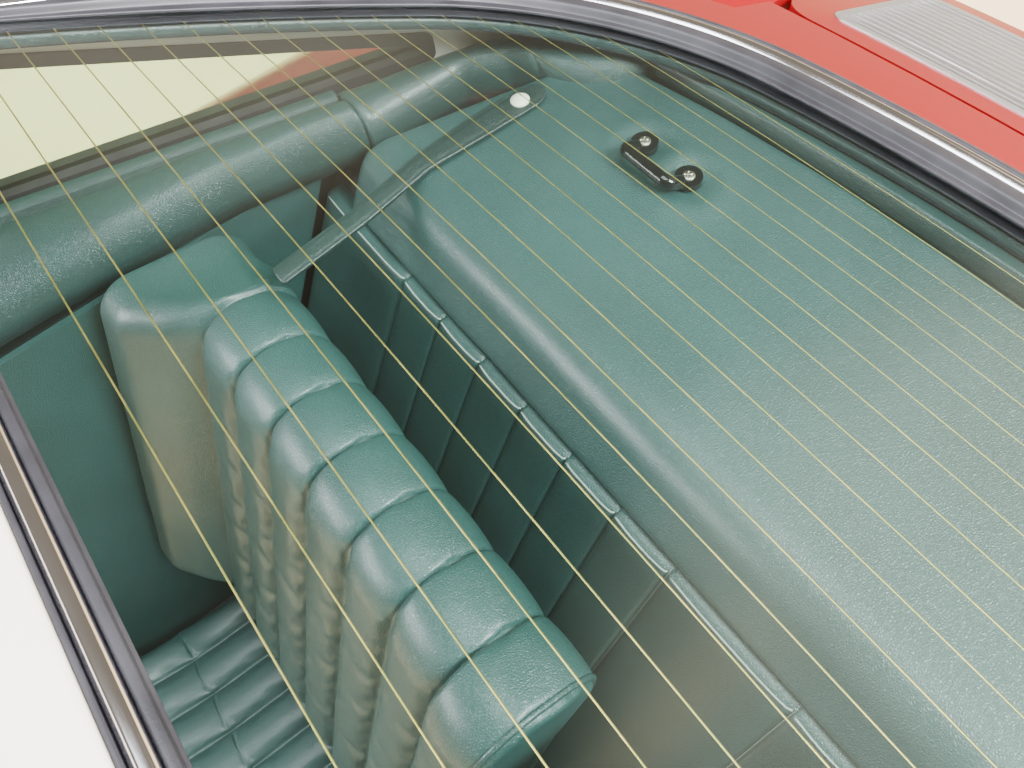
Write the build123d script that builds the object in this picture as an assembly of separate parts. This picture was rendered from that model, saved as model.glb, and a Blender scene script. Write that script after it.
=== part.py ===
from build123d import *
import math
import os

# Rear cabin section of a two-plus-two sports coupe: the rear seat, the luggage shelf behind it
# and the sloping rear window over them, in the piece of body that carries them.
# Millimetres. +X is the car's left, -Y the way it drives, +Z up. The origin lies on the
# centreline, on the underside of the floor, below the front ridge of the luggage shelf.

SIDES = ((-1, "right"), (1, "left"))

# Clearances
FIT = 0.3                 # between pieces that seat on each other
RUNNING = 0.08            # radial, hinge rod in its tube

REACH = 1500.0            # past every piece, for cutting tools
SEAT_HALF_WIDTH = 480.0   # between the side walls; every width follows it

# Rear window, in its own plane: x across, y down the slope, z out of the glass
WINDOW_TOP_Y = -220.0
WINDOW_TOP_Z = 860.0
WINDOW_SLOPE = 22.5
BOW_RADIUS = 5000.0       # the glass and its frame are bent across the car
GLASS_THICK = 5.0
GLASS_HOLD = 10.0         # how far the pane reaches into the rubber
SEAL_LIP = 6.0
SEAL_BEAD = 22.0
TRIM_WIDTH = 16.0
OUTER_LIP = 8.0
SEAL_WIDTH = SEAL_BEAD + TRIM_WIDTH + OUTER_LIP
SEAL_DEPTH = 13.0
LIP_HEIGHT = 3.0
BEAD_HEIGHT = 10.0
TRIM_HEIGHT = 12.0
OUTER_LIP_HEIGHT = 11.0
FLANGE_THICK = 3.2
SKIN_HEIGHT = 9.0
FRAME_MARGIN = 96.0       # body-colour band round the glass, rubber included
FRAME_OPENING = 2.0       # the flange stops this far outside the clear glass
ROOF_EDGE_V = -95.0
ROOF_CORNER_V = 160.0     # above this the frame runs out to the greenhouse sides
COWL_EDGE_V = 616.0
SADDLE_LENGTH = 160.0     # the frame's full-width band in front of the deck
SKIRT_THICK = 5.0         # wall under the frame's rear corners, down to the ledge
SKIRT_REACH = 90.0
SKIRT_GAP = 3.0
GLASS_ROOF_CORNER_R = 70.0

# Edge of the clear glass on the car's right. Columns: how far the point lies inside the seat's
# half width, and how far down the slope
GLASS_BOTTOM_V = 515.0
GLASS_COWL_END = (245.0, 500.0)
GLASS_CORNER_MID = (110.0, 441.0)
GLASS_CORNER_END = (40.0, 330.0)
GLASS_SIDE_MID = (8.0, 206.0)
GLASS_ROOF_END = (-22.0, -2.0)

# Greenhouse sides, in plan
SILL_STEP = 41.1          # from the cabin wall out to the greenhouse, at the ridge of the shelf
SILL_TAPER = 0.325        # the sides draw in towards the rear
SILL_BREAK_Y = -300.0
SILL_REAR_Y = 160.0
TUMBLEHOME = 8.0
SIDE_FRAME_THICK = 16.0
SIDE_FRAME_TAIL = 22.0    # behind SILL_REAR_Y

# Side shells. Columns: Y, how far the widest part lies outside the cabin wall
HIP_STATIONS = (
    (-700.0, 222.0),
    (-560.0, 222.0),
    (-420.0, 223.0),
    (-280.0, 227.0),
    (-120.0, 244.0),
    (60.0, 270.0),
    (220.0, 285.0),
    (340.0, 284.0),
    (440.0, 268.0),
    (520.0, 240.0),
)
HIP_CROWN = ((0.35, 14.0), (0.62, 42.0), (0.86, 100.0))   # share of the hip's width, drop
HIP_RISE = 4.0            # the lofts start this far above the ledge, which is then cut flat
HIP_TAIL_LEDGE = 55.0
HIP_WIDEST_Z = 380.0
HIP_TUCK = 10.0
HIP_TUCK_Z = 190.0
HIP_FOOT = 60.0
ARCH_Y = 130.0
ARCH_Z = 75.0
ARCH_R = 318.0
ARCH_THICK = 12.0

# Quarter light, in the side's own plane: x forward from SILL_REAR_Y, y up from the ledge
QUARTER_TAIL_X = 58.0
QUARTER_TAIL_HEIGHT = 60.0
QUARTER_FRONT_X = 440.0
QUARTER_FRONT_HEIGHT = 196.0
QUARTER_SILL = 32.0
QUARTER_CORNER_R = 10.0
QUARTER_LIP = 11.0
QUARTER_HOLD = 6.0
QUARTER_PANE = 4.0
QUARTER_PROUD = 2.0

# Lower body
FRONT_Y = -700.0
REAR_Y = 300.0
LEDGE_Z = 612.0
FLOOR_THICK = 50.0
ENGINE_STEP = 80.0        # the bay behind the bulkhead is this much narrower on each side
ENGINE_HALF_WIDTH = SEAT_HALF_WIDTH - ENGINE_STEP
BAY_FRONT_Y = 14.0
WALL = 16.0
TUNNEL_HALF_WIDTH = 95.0
TUNNEL_TOP_Z = 150.0
TUNNEL_ROUND = 30.0
BULKHEAD_THICK = 18.0
BULKHEAD_RECLINE = 31.0
BULKHEAD_KNEE_Z = 222.0
SHELF_PANEL_THICK = 15.0
BASE_HOLE_R = 6.0
BASE_HOLE_X = 350.0
BASE_HOLE_FRONT_Y = -150.0
BASE_HOLE_REAR_Y = 250.0

# Luggage shelf upholstery
SHELF_Z = 640.0
SHELF_INSET = 42.0
SHELF_FRONT_HALF = SEAT_HALF_WIDTH - SHELF_INSET
SHELF_DRAW_IN = 53.0
SHELF_REAR_HALF = SHELF_FRONT_HALF - SHELF_DRAW_IN
SHELF_JOIN_Y = 60.0
SHELF_SIDE_REAR_Y = 190.0
SHELF_REAR_Y = 233.0
SHELF_CORNER_R = 45.0
RIDGE_R = 38.0
FLAP_THICK = 12.0
FLAP_END_Z = 588.0
ROLL_TOP_Z = 656.0
ROLL_ROUND = 12.0
ROLL_JOINT_Y = 12.0       # where the shelf's roll meets the one along the side
ROLL_RIM = 26.0           # the rolls stay this far inside the greenhouse
ROLL_SIDE_GAP = 8.0       # from the shelf's corner out to the end of the side roll
ROLL_EDGE = 7.0
ROLL_BEND_Y = 200.0
ROLL_REAR_Y = 258.0
ROLL_REAR_HALF = 372.0
ROLL_START = 4.0
BAND_WIDTH = 12.0         # flat band under the quarter light, outside the roll
BAND_GROOVE = 3.0
BAND_GROOVE_DEPTH = 9.0
# Dark gap between the shelf's side and the roll. Columns: inside the cabin wall, Y
SIDE_GAP = ((38.0, ROLL_JOINT_Y), (44.0, 100.0), (62.0, 135.0), (82.0, 148.0))
# Inner edge of the side roll. Columns: inside the cabin wall, Y
SIDE_ROLL_EDGE = ((-20.0, FRONT_Y + ROLL_START), (-6.0, -268.0), (8.0, -100.0))

# Pleated lining of the bulkhead
LINING_TOP_Z = 586.0
LINING_BOTTOM_Z = 236.0
LINING_TOP_Y = -36.0
LINING_THICK = 16.0
LINING_INSET = 12.0
LINING_HALF = SEAT_HALF_WIDTH - LINING_INSET
LINING_END = 121.4        # plain ends
LINING_CENTRE_HALF = 50.8
PLEATS = 6
LINING_PLEAT = (LINING_HALF - LINING_END - LINING_CENTRE_HALF) / PLEATS
PLEAT_ROUND = 5.0

# Folding backrests
HINGE_Y = -280.0
HINGE_Z = 232.0
BACKREST_RECLINE = 22.6
BACKREST_SIDE_GAP = 20.0
BACKREST_OUTER_X = SEAT_HALF_WIDTH - BACKREST_SIDE_GAP
BACKREST_INNER_X = 26.0
BOARD_MARGIN = 8.0
BOARD_THICK = 12.0
BOARD_BACK_W = -18.0
BOARD_LOW_U = -6.0
BOARD_TOP_U = 386.0
TUBE_R = 11.0
ROD_R = 6.0
ROLL_R = 39.0             # radius of the rolled top edge
ROLL_CENTRE_U = 390.0
ROLL_PLAY = 0.5           # the corner fillets stop this short of a half round
PAD_BOTTOM_U = 15.0
PAD_BOTTOM_R = 28.0
RIB_ROUND = 7.0
INNER_BOLSTER_WIDTH = 48.0
INNER_BOLSTER_REACH = 14.0
INNER_BOLSTER_ROUND = 9.0
OUTER_BOLSTER_WIDTH = 86.0
OUTER_BOLSTER_RISE = 4.0
OUTER_BOLSTER_BACK_R = 34.0
OUTER_BOLSTER_TOP_R = 30.0
# Outer bolster from its outer end to the ribs. Columns: share of its width, how far its front
# stands out past the ribs, how far its front edge lies below its back edge, inset all round
OUTER_BOLSTER = (
    (0.0, 50.0, 30.0, 10.0),
    (0.14, 50.0, 30.0, 0.0),
    (0.45, 46.0, 28.0, 0.0),
    (0.8, 22.0, 14.0, 0.0),
    (1.0, 2.0, 3.0, 3.0),
)

# Hinge brackets
BRACKET_THICK = 5.0
BRACKET_GAP_OUTER = 10.0
BRACKET_GAP_INNER = 5.0
BRACKET_HALF_WIDTH = 22.0
BRACKET_EYE = 16.0
BRACKET_ROUND = 12.0
ROD_STANDOUT = 3.0

# Hold-back straps, snaps and lashing loops
STRAP_THICK = 3.0
STRAP_LIFT = 1.5
# Plan of the strap. Columns: outer and inner edge inside the shelf's front corner, Y
STRAP_EDGES = (
    (63.0, 81.0, -114.0),
    (57.0, 75.0, -40.0),
    (46.0, 65.0, 24.0),
    (43.0, 68.0, 85.0),
    (45.0, 69.0, 122.0),
)
STRAP_TIP = (58.0, 138.0)
SNAP_INSET = 57.0
SNAP_X = SHELF_FRONT_HALF - SNAP_INSET
SNAP_Y = 115.0
SNAP_HOLE_R = 5.5
CAP_R = 7.5
CAP_HEIGHT = 3.5
CAP_RIM = 1.0
CAP_SEAT = 0.1
STUD_R = 2.5
STUD_HEIGHT = 4.0
STUD_BASE_R = 5.0
STUD_BASE_THICK = 1.0
LOOP_INSET = 155.0        # outer screw, inside the shelf's front corner
LOOP_SPACING = 45.5
LOOP_SCREW_OUTER_X = SHELF_FRONT_HALF - LOOP_INSET
LOOP_SCREW_INNER_X = LOOP_SCREW_OUTER_X - LOOP_SPACING
LOOP_SCREW_Y = 154.0
LOOP_BAR_Y = 134.0
LOOP_BAR_Z = 652.5
LOOP_BAR_R = 5.0
LOOP_TAB_R = 10.0
LOOP_TAB_THICK = 5.0
LOOP_HOLE_R = 2.7
LOOP_BEND_R = 6.0
LOOP_ROOT = 8.0           # the bar leaves each tab this far from its screw

# Seat cushions
CUSHION_SIDE_GAP = 30.0
CUSHION_OUTER_X = SEAT_HALF_WIDTH - CUSHION_SIDE_GAP
CUSHION_TUNNEL_GAP = 17.0
CUSHION_INNER_X = TUNNEL_HALF_WIDTH + CUSHION_TUNNEL_GAP
CUSHION_REAR_Y = -300.0
CUSHION_FRONT_Y = -688.0
CUSHION_REAR_Z = 122.0
CUSHION_MID_Y = -440.0
CUSHION_MID_Z = 130.0
CUSHION_CREST_Y = -630.0
CUSHION_CREST_Z = 182.0
CUSHION_NOSE_Z = 120.0
CUSHION_NOSE_BACK = 12.0
CUSHION_NOSE_DROP = 16.0
CUSHION_ROUND = 14.0
SEAT_PAN_Z = 60.0
SEAT_PAN_DEPTH = 10.0
SEAT_PAN_LIP = 10.0       # the raised pan ends this far behind the hinge
SEAT_PAN_CLEAR = 6.0

# Rear deck with its air grille
DECK_GAP = 4.0
DECK_LEDGE = 17.0         # flange under the deck's front edge
DECK_LEDGE_END = 10.0
DECK_LOW = -12.0
DECK_LENGTH = 214.0
DECK_END_V = COWL_EDGE_V + DECK_LENGTH
DECK_INSET = 135.0
DECK_HALF = SEAT_HALF_WIDTH - DECK_INSET
DECK_CORNER_R = 40.0
GRILLE_INSET = 37.0
GRILLE_HALF = DECK_HALF - GRILLE_INSET
GRILLE_MARGIN = 32.0
GRILLE_LENGTH = 160.0
GRILLE_START_V = COWL_EDGE_V + GRILLE_MARGIN
GRILLE_END_V = GRILLE_START_V + GRILLE_LENGTH
GRILLE_RIM = 8.0
GRILLE_CORNER_R = 14.0
SLAT_PITCH = 11.0
SLAT_THICK = 3.0
SLAT_DEPTH = 11.0
GRILLE_PROUD = 1.0

SIDE_TRIM_THICK = 6.0
SIDE_TRIM_GAP = 1.5

WINDOW = Plane(
    origin=(0, WINDOW_TOP_Y, WINDOW_TOP_Z),
    x_dir=(1, 0, 0),
    z_dir=(0, math.sin(math.radians(WINDOW_SLOPE)), math.cos(math.radians(WINDOW_SLOPE))),
)
SLAB_HALF = 720.0         # half width of the bent layers that shape the window's pieces
SLAB_START_V = -300.0
SLAB_END_V = 1000.0
SLAB_REACH = 200.0        # of a straight column through those layers

nodes = {}


def yz_prism(outline, x_low, x_high):
    """A closed outline in (Y, Z), carried from one X to another."""
    return extrude(Plane.YZ.offset(x_low) * make_face(outline), x_high - x_low)


def xy_prism(outline, z_low, z_high):
    """A closed outline in (X, Y), carried from one height to another."""
    return extrude(Plane.XY.offset(z_low) * make_face(outline), z_high - z_low)


def box(x_low, x_high, y_low, y_high, z_low, z_high):
    """A box between two corners."""
    size = (x_high - x_low, y_high - y_low, z_high - z_low)
    return Pos(x_low, y_low, z_low) * Box(*size, align=(Align.MIN, Align.MIN, Align.MIN))


def mirrored(side, shape):
    """Pieces are drawn for the car's right, at negative X."""
    return shape if side < 0 else mirror(shape, about=Plane.YZ)


def bow_height(x, level):
    """Height of the bent window surface at x, where it is `level` high on the centreline."""
    return math.sqrt((BOW_RADIUS + level) ** 2 - x**2) - BOW_RADIUS


def bowed_slab(low, high):
    """The bent layer between two levels, in the window's own frame."""
    ends = {level: bow_height(SLAB_HALF, level) for level in (low, high)}
    top = ThreePointArc((-SLAB_HALF, ends[high]), (0, high), (SLAB_HALF, ends[high]))
    bottom = ThreePointArc((-SLAB_HALF, ends[low]), (0, low), (SLAB_HALF, ends[low]))
    rim = [top, Line(top @ 1, bottom @ 1), bottom, Line(bottom @ 0, top @ 0)]
    section = Plane.XZ.offset(-SLAB_START_V) * make_face(rim)
    return extrude(section, -(SLAB_END_V - SLAB_START_V))


def window_outline():
    """Edge of the clear glass: nearly straight at the roof, wide round corners at the cowl."""
    def at(point, flip=-1):
        return (flip * (SEAT_HALF_WIDTH - point[0]), point[1])

    curves = [ThreePointArc(at(GLASS_COWL_END), (0, GLASS_BOTTOM_V), at(GLASS_COWL_END, 1))]
    for flip in (-1, 1):
        curves.append(ThreePointArc(
            at(GLASS_COWL_END, flip), at(GLASS_CORNER_MID, flip), at(GLASS_CORNER_END, flip)))
        curves.append(ThreePointArc(
            at(GLASS_CORNER_END, flip), at(GLASS_SIDE_MID, flip), at(GLASS_ROOF_END, flip)))
    curves.append(Line(at(GLASS_ROOF_END), at(GLASS_ROOF_END, 1)))
    outline = make_face(curves)
    roof_corners = outline.vertices().sort_by(Axis.Y)[:2]
    return fillet(roof_corners, GLASS_ROOF_CORNER_R)


CLEAR_GLASS = window_outline()


def column(plan):
    """A straight column over a plan in the window's own frame."""
    return extrude(Plane.XY.offset(-SLAB_REACH) * plan, 2 * SLAB_REACH)


def window_band(inner, outer, low, high):
    """A closed band round the glass, between two offsets of its edge and two bent levels."""
    band = offset(CLEAR_GLASS, outer)
    if inner is not None:
        band -= offset(CLEAR_GLASS, inner) if inner else CLEAR_GLASS
    return column(band) & bowed_slab(low, high)


def sill_x(y):
    """Outer face of the greenhouse at the ledge, on the car's right."""
    return -(SEAT_HALF_WIDTH + SILL_STEP + SILL_TAPER * (ROLL_JOINT_Y - y))


def bulkhead_y(z, proud=0.0):
    """The reclined face that the lining lies on, or a face that stands proud of it."""
    lean = math.radians(BULKHEAD_RECLINE)
    top_y = LINING_TOP_Y + LINING_THICK / math.cos(lean)
    return top_y - (LINING_TOP_Z - z) * math.tan(lean) - proud / math.cos(lean)


UNDER_FRAME = -SEAL_DEPTH - FIT - FLANGE_THICK


def cut_under_window(shape):
    """Takes off what would reach into the window frame."""
    return shape - WINDOW * bowed_slab(UNDER_FRAME - FIT, UNDER_FRAME + 2 * SLAB_REACH)


def build_window():
    glass = window_band(None, GLASS_HOLD, -GLASS_THICK, 0)
    groove = window_band(None, GLASS_HOLD + FIT, -GLASS_THICK - FIT, FIT)
    trim_edge = SEAL_BEAD + TRIM_WIDTH
    seal = window_band(0, SEAL_WIDTH, -SEAL_DEPTH, LIP_HEIGHT)
    seal += window_band(SEAL_LIP, SEAL_BEAD, -SEAL_DEPTH, BEAD_HEIGHT)
    seal += window_band(trim_edge, SEAL_WIDTH, -SEAL_DEPTH, OUTER_LIP_HEIGHT)
    seal -= groove
    trim = window_band(SEAL_BEAD + FIT, trim_edge - FIT, LIP_HEIGHT + FIT, TRIM_HEIGHT)
    nodes["rear_window_glass"] = WINDOW * glass
    nodes["rear_window_seal"] = WINDOW * seal
    nodes["rear_window_trim"] = WINDOW * trim


def frame_outline():
    """Body-colour frame: straight at roof, sides and cowl, round at the cowl's corners."""
    slope = math.radians(WINDOW_SLOPE)
    lean = math.tan(math.radians(TUMBLEHOME))

    def side_edge(v):
        y = WINDOW_TOP_Y + v * math.cos(slope)
        z = WINDOW_TOP_Z - v * math.sin(slope)
        return (sill_x(y) + (z - LEDGE_Z) * lean, v)

    roof = side_edge(ROOF_EDGE_V)
    rear = side_edge(COWL_EDGE_V)
    points = [roof, rear, (-rear[0], rear[1]), (-roof[0], roof[1])]
    body = make_face(Polyline(*points, close=True))
    front_length = ROOF_CORNER_V - 2 * ROOF_EDGE_V
    front = Pos(0, ROOF_CORNER_V - front_length / 2) * Rectangle(2 * SLAB_HALF, front_length)
    saddle = Pos(0, COWL_EDGE_V - SADDLE_LENGTH / 2) * Rectangle(2 * DECK_HALF, SADDLE_LENGTH)
    return body & (offset(CLEAR_GLASS, FRAME_MARGIN) + front + saddle)


def build_window_frame():
    outline = frame_outline()
    flange_plan = outline - offset(CLEAR_GLASS, FRAME_OPENING)
    flange = column(flange_plan) & bowed_slab(UNDER_FRAME, -SEAL_DEPTH - FIT)
    skin = column(outline - offset(CLEAR_GLASS, SEAL_WIDTH + FIT)) & bowed_slab(UNDER_FRAME, SKIN_HEIGHT)
    ledge_plan = Pos(0, COWL_EDGE_V) * Rectangle(2 * (DECK_HALF - DECK_LEDGE_END), 2 * DECK_LEDGE)
    ledge = column(ledge_plan) & bowed_slab(UNDER_FRAME, DECK_LOW - FIT)
    frame = WINDOW * (flange + skin + ledge)
    skirt_plan = outline - offset(outline, -SKIRT_THICK)
    skirt = WINDOW * (column(skirt_plan) & bowed_slab(UNDER_FRAME - SKIRT_REACH, UNDER_FRAME))
    start_y = SILL_REAR_Y + SIDE_FRAME_TAIL + SKIRT_GAP
    end_y = REAR_Y - WALL - FIT
    for low_x, high_x in ((-REACH, -DECK_HALF), (DECK_HALF, REACH)):
        frame += skirt & box(low_x, high_x, start_y, end_y, LEDGE_Z + FIT, REACH)
    nodes["window_frame"] = frame


def build_rear_deck():
    start = COWL_EDGE_V + DECK_GAP
    plan = Pos(0, (start + DECK_END_V) / 2) * RectangleRounded(
        2 * DECK_HALF, DECK_END_V - start, DECK_CORNER_R)
    hole = Pos(0, (GRILLE_START_V + GRILLE_END_V) / 2) * RectangleRounded(
        2 * GRILLE_HALF, GRILLE_END_V - GRILLE_START_V, GRILLE_CORNER_R)
    nodes["rear_deck"] = WINDOW * (column(plan - hole) & bowed_slab(DECK_LOW, SKIN_HEIGHT))

    rim = column(offset(hole, -FIT) - offset(hole, -GRILLE_RIM))
    slats = []
    count = int((GRILLE_END_V - GRILLE_START_V - 2 * GRILLE_RIM) / SLAT_PITCH)
    first = (GRILLE_START_V + GRILLE_END_V) / 2 - (count - 1) / 2 * SLAT_PITCH
    for index in range(count):
        centre = first + index * SLAT_PITCH
        slats.append(Pos(0, centre, 0) * Box(
            2 * (GRILLE_HALF - GRILLE_RIM / 2), SLAT_THICK, 2 * SLAB_REACH))
    grille = rim + slats
    top = SKIN_HEIGHT + GRILLE_PROUD
    nodes["engine_air_grille"] = WINDOW * (grille & bowed_slab(top - SLAT_DEPTH, top))


def side_plane():
    """Outer face of the greenhouse side: x towards the front, y up the tilted side."""
    length = math.hypot(SILL_TAPER, 1)
    forward = Vector(-SILL_TAPER / length, -1 / length, 0)
    inward = Vector(1 / length, -SILL_TAPER / length, 0)
    lean = math.radians(TUMBLEHOME)
    up = inward * math.sin(lean) + Vector(0, 0, 1) * math.cos(lean)
    origin = (sill_x(SILL_REAR_Y), SILL_REAR_Y, LEDGE_Z)
    return Plane(origin=origin, x_dir=forward, z_dir=forward.cross(up))


def quarter_outline():
    """The quarter light: a long wedge that dies out towards the rear."""
    face = make_face(Polyline(
        (QUARTER_TAIL_X, QUARTER_SILL),
        (QUARTER_FRONT_X, QUARTER_SILL),
        (QUARTER_FRONT_X, QUARTER_FRONT_HEIGHT),
        (QUARTER_TAIL_X, QUARTER_TAIL_HEIGHT),
        close=True))
    return fillet(face.vertices(), QUARTER_CORNER_R)


def build_greenhouse_side(side, name):
    plane = side_plane()
    front_end = (SILL_REAR_Y - SILL_BREAK_Y) * math.hypot(SILL_TAPER, 1)
    top = WINDOW_TOP_Z - LEDGE_Z + SLAB_REACH / 2
    panel = make_face(Polyline(
        (-SIDE_FRAME_TAIL, 0), (front_end, 0), (front_end, top), (-SIDE_FRAME_TAIL, top), close=True))
    opening = quarter_outline()
    step = 1 if plane.z_dir.X > 0 else -1
    frame = cut_under_window(extrude(plane * (panel - opening), step * SIDE_FRAME_THICK))
    frame -= box(-REACH, 0, FRONT_Y, REACH, LEDGE_Z - SIDE_FRAME_THICK, LEDGE_Z)
    nodes[f"side_frame_{name}"] = mirrored(side, frame)

    seal_plane = plane.offset(-QUARTER_PROUD * step)
    band = offset(opening, -FIT) - offset(opening, -QUARTER_LIP)
    seal = extrude(seal_plane * band, step * (SIDE_FRAME_THICK + 2 * QUARTER_PROUD))
    pane_face = offset(opening, QUARTER_HOLD - QUARTER_LIP)
    pane_low = step * (SIDE_FRAME_THICK - QUARTER_PANE) / 2
    pane = extrude(plane.offset(pane_low) * pane_face, step * QUARTER_PANE)
    groove_face = offset(opening, QUARTER_HOLD - QUARTER_LIP + FIT)
    seal -= extrude(plane.offset(pane_low - step * FIT) * groove_face, step * (QUARTER_PANE + 2 * FIT))
    nodes[f"quarter_seal_{name}"] = mirrored(side, seal)
    nodes[f"quarter_glass_{name}"] = mirrored(side, pane)


def hip_section(y, widest, inset):
    """Side shell at one station, or its hollow with an inset: flat top, round hip, tucked foot."""
    slope = math.radians(WINDOW_SLOPE)
    deck_edge = SKIN_HEIGHT - DECK_HALF**2 / (2 * BOW_RADIUS)
    deck_z = WINDOW_TOP_Z - (y - WINDOW_TOP_Y) * math.tan(slope) + deck_edge / math.cos(slope)
    high_z = min(LEDGE_Z + HIP_RISE, deck_z) - inset
    low_z = -inset
    belt_x = min(sill_x(max(y, SILL_BREAK_Y)), -(DECK_HALF + HIP_TAIL_LEDGE))
    out_x = inset - SEAT_HALF_WIDTH - widest
    inner_x = -(DECK_HALF + DECK_GAP) - inset
    curve = [(belt_x, high_z)]
    curve += [(belt_x + share * (out_x - belt_x), high_z - drop) for share, drop in HIP_CROWN]
    curve += [(out_x, HIP_WIDEST_Z), (out_x + HIP_TUCK, HIP_TUCK_Z), (out_x + HIP_FOOT, low_z)]
    outline = [
        Line((inner_x, low_z), (inner_x, high_z)),
        Line((inner_x, high_z), curve[0]),
        Spline(*curve),
        Line(curve[-1], (inner_x, low_z)),
    ]
    return Plane.XZ.offset(-y) * make_face(outline)


def build_side_shell(side, name):
    """Hollow quarter panel with a round hip and a wheel arch, open underneath."""
    shell = loft([hip_section(y, widest, 0) for y, widest in HIP_STATIONS])
    shell -= box(-REACH, 0, -REACH, REACH, LEDGE_Z, REACH)
    hollow = loft([hip_section(y, widest, WALL) for y, widest in HIP_STATIONS])
    hollow &= box(-REACH, 0, FRONT_Y + WALL, HIP_STATIONS[-1][0] - WALL, -WALL, LEDGE_Z - WALL)
    arch = Pos(0, ARCH_Y, ARCH_Z) * Rot(0, 90, 0) * Cylinder(ARCH_R, 2 * REACH)
    house = Pos(0, ARCH_Y, ARCH_Z) * Rot(0, 90, 0) * Cylinder(ARCH_R + ARCH_THICK, 2 * REACH)
    arch &= box(-REACH, -ENGINE_HALF_WIDTH - WALL, -REACH, REACH, -WALL, LEDGE_Z)
    hollow -= house
    for half, end_y in ((SEAT_HALF_WIDTH, BAY_FRONT_Y), (ENGINE_HALF_WIDTH, REAR_Y + FIT)):
        shell -= box(-half, 0, -REACH, end_y, -REACH, REACH)
        wall = box(-half - WALL, 0, -REACH, end_y + WALL, -REACH, REACH)
        hollow -= wall
        arch -= wall
    shell -= WINDOW * (column(offset(frame_outline(), DECK_GAP)) & bowed_slab(UNDER_FRAME - FIT, SLAB_REACH))
    nodes[f"side_shell_{name}"] = mirrored(side, shell - hollow - arch)


def build_floor():
    pan_top = SEAT_PAN_Z + SEAT_PAN_DEPTH
    floor = box(-SEAT_HALF_WIDTH, SEAT_HALF_WIDTH, FRONT_Y, BAY_FRONT_Y, 0, FLOOR_THICK)
    floor += box(-ENGINE_HALF_WIDTH, ENGINE_HALF_WIDTH, BAY_FRONT_Y, REAR_Y, 0, FLOOR_THICK)
    pan_end = HINGE_Y + SEAT_PAN_LIP
    floor += box(-SEAT_HALF_WIDTH, SEAT_HALF_WIDTH, FRONT_Y, pan_end, FLOOR_THICK, pan_top)
    for flip in (-1, 1):
        inner = flip * (CUSHION_INNER_X - SEAT_PAN_CLEAR)
        outer = flip * (CUSHION_OUTER_X + SEAT_PAN_CLEAR)
        floor -= box(min(inner, outer), max(inner, outer), CUSHION_FRONT_Y - SEAT_PAN_CLEAR,
                     CUSHION_REAR_Y + SEAT_PAN_CLEAR, SEAT_PAN_Z, pan_top)
    knee_y = bulkhead_y(BULKHEAD_KNEE_Z)
    tunnel = box(-TUNNEL_HALF_WIDTH, TUNNEL_HALF_WIDTH, FRONT_Y, knee_y, FLOOR_THICK, TUNNEL_TOP_Z)
    long_top = tunnel.edges().filter_by(Axis.Y).group_by(Axis.Z)[-1]
    floor += fillet(long_top, TUNNEL_ROUND)
    for x in (-BASE_HOLE_X, BASE_HOLE_X):
        for y in (BASE_HOLE_FRONT_Y, BASE_HOLE_REAR_Y):
            floor -= Pos(x, y, FLOOR_THICK / 2) * Cylinder(BASE_HOLE_R, FLOOR_THICK * 2)
    nodes["floor_pan"] = floor


def build_bulkhead():
    lean = math.radians(BULKHEAD_RECLINE)
    top_z = LEDGE_Z - SHELF_PANEL_THICK
    back = BULKHEAD_THICK / math.cos(lean)
    knee_y = bulkhead_y(BULKHEAD_KNEE_Z)
    outline = Polyline(
        (knee_y, FLOOR_THICK),
        (knee_y, BULKHEAD_KNEE_Z),
        (bulkhead_y(top_z), top_z),
        (bulkhead_y(top_z) + back, top_z),
        (knee_y + BULKHEAD_THICK, BULKHEAD_KNEE_Z - BULKHEAD_THICK / 4),
        (knee_y + BULKHEAD_THICK, FLOOR_THICK),
        close=True,
    )
    nodes["rear_bulkhead"] = yz_prism(outline, -SEAT_HALF_WIDTH, SEAT_HALF_WIDTH)
    nodes["shelf_panel"] = box(
        -ENGINE_HALF_WIDTH, ENGINE_HALF_WIDTH, 0, REAR_Y - WALL, top_z, LEDGE_Z)
    wall = box(-ENGINE_HALF_WIDTH, ENGINE_HALF_WIDTH, REAR_Y - WALL, REAR_Y, FLOOR_THICK, WINDOW_TOP_Z)
    wall = cut_under_window(wall)
    for low_x, high_x in ((-REACH, -DECK_HALF), (DECK_HALF, REACH)):
        wall -= box(low_x, high_x, FRONT_Y, REACH, LEDGE_Z, REACH)
    nodes["rear_wall"] = wall


def shelf_outline():
    """Plan of the shelf's padded face: tapered sides, round rear corners, bowed rear edge."""
    rear_y = SHELF_SIDE_REAR_Y
    rear = ThreePointArc((-SHELF_REAR_HALF, rear_y), (0, SHELF_REAR_Y), (SHELF_REAR_HALF, rear_y))
    curves = [
        rear,
        Line((SHELF_REAR_HALF, rear_y), (SHELF_FRONT_HALF, 0)),
        Line((SHELF_FRONT_HALF, 0), (-SHELF_FRONT_HALF, 0)),
        Line((-SHELF_FRONT_HALF, 0), (-SHELF_REAR_HALF, rear_y)),
    ]
    face = make_face(curves)
    rear_corners = face.vertices().sort_by(Axis.Y)[-2:]
    return fillet(rear_corners, SHELF_CORNER_R)


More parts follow.
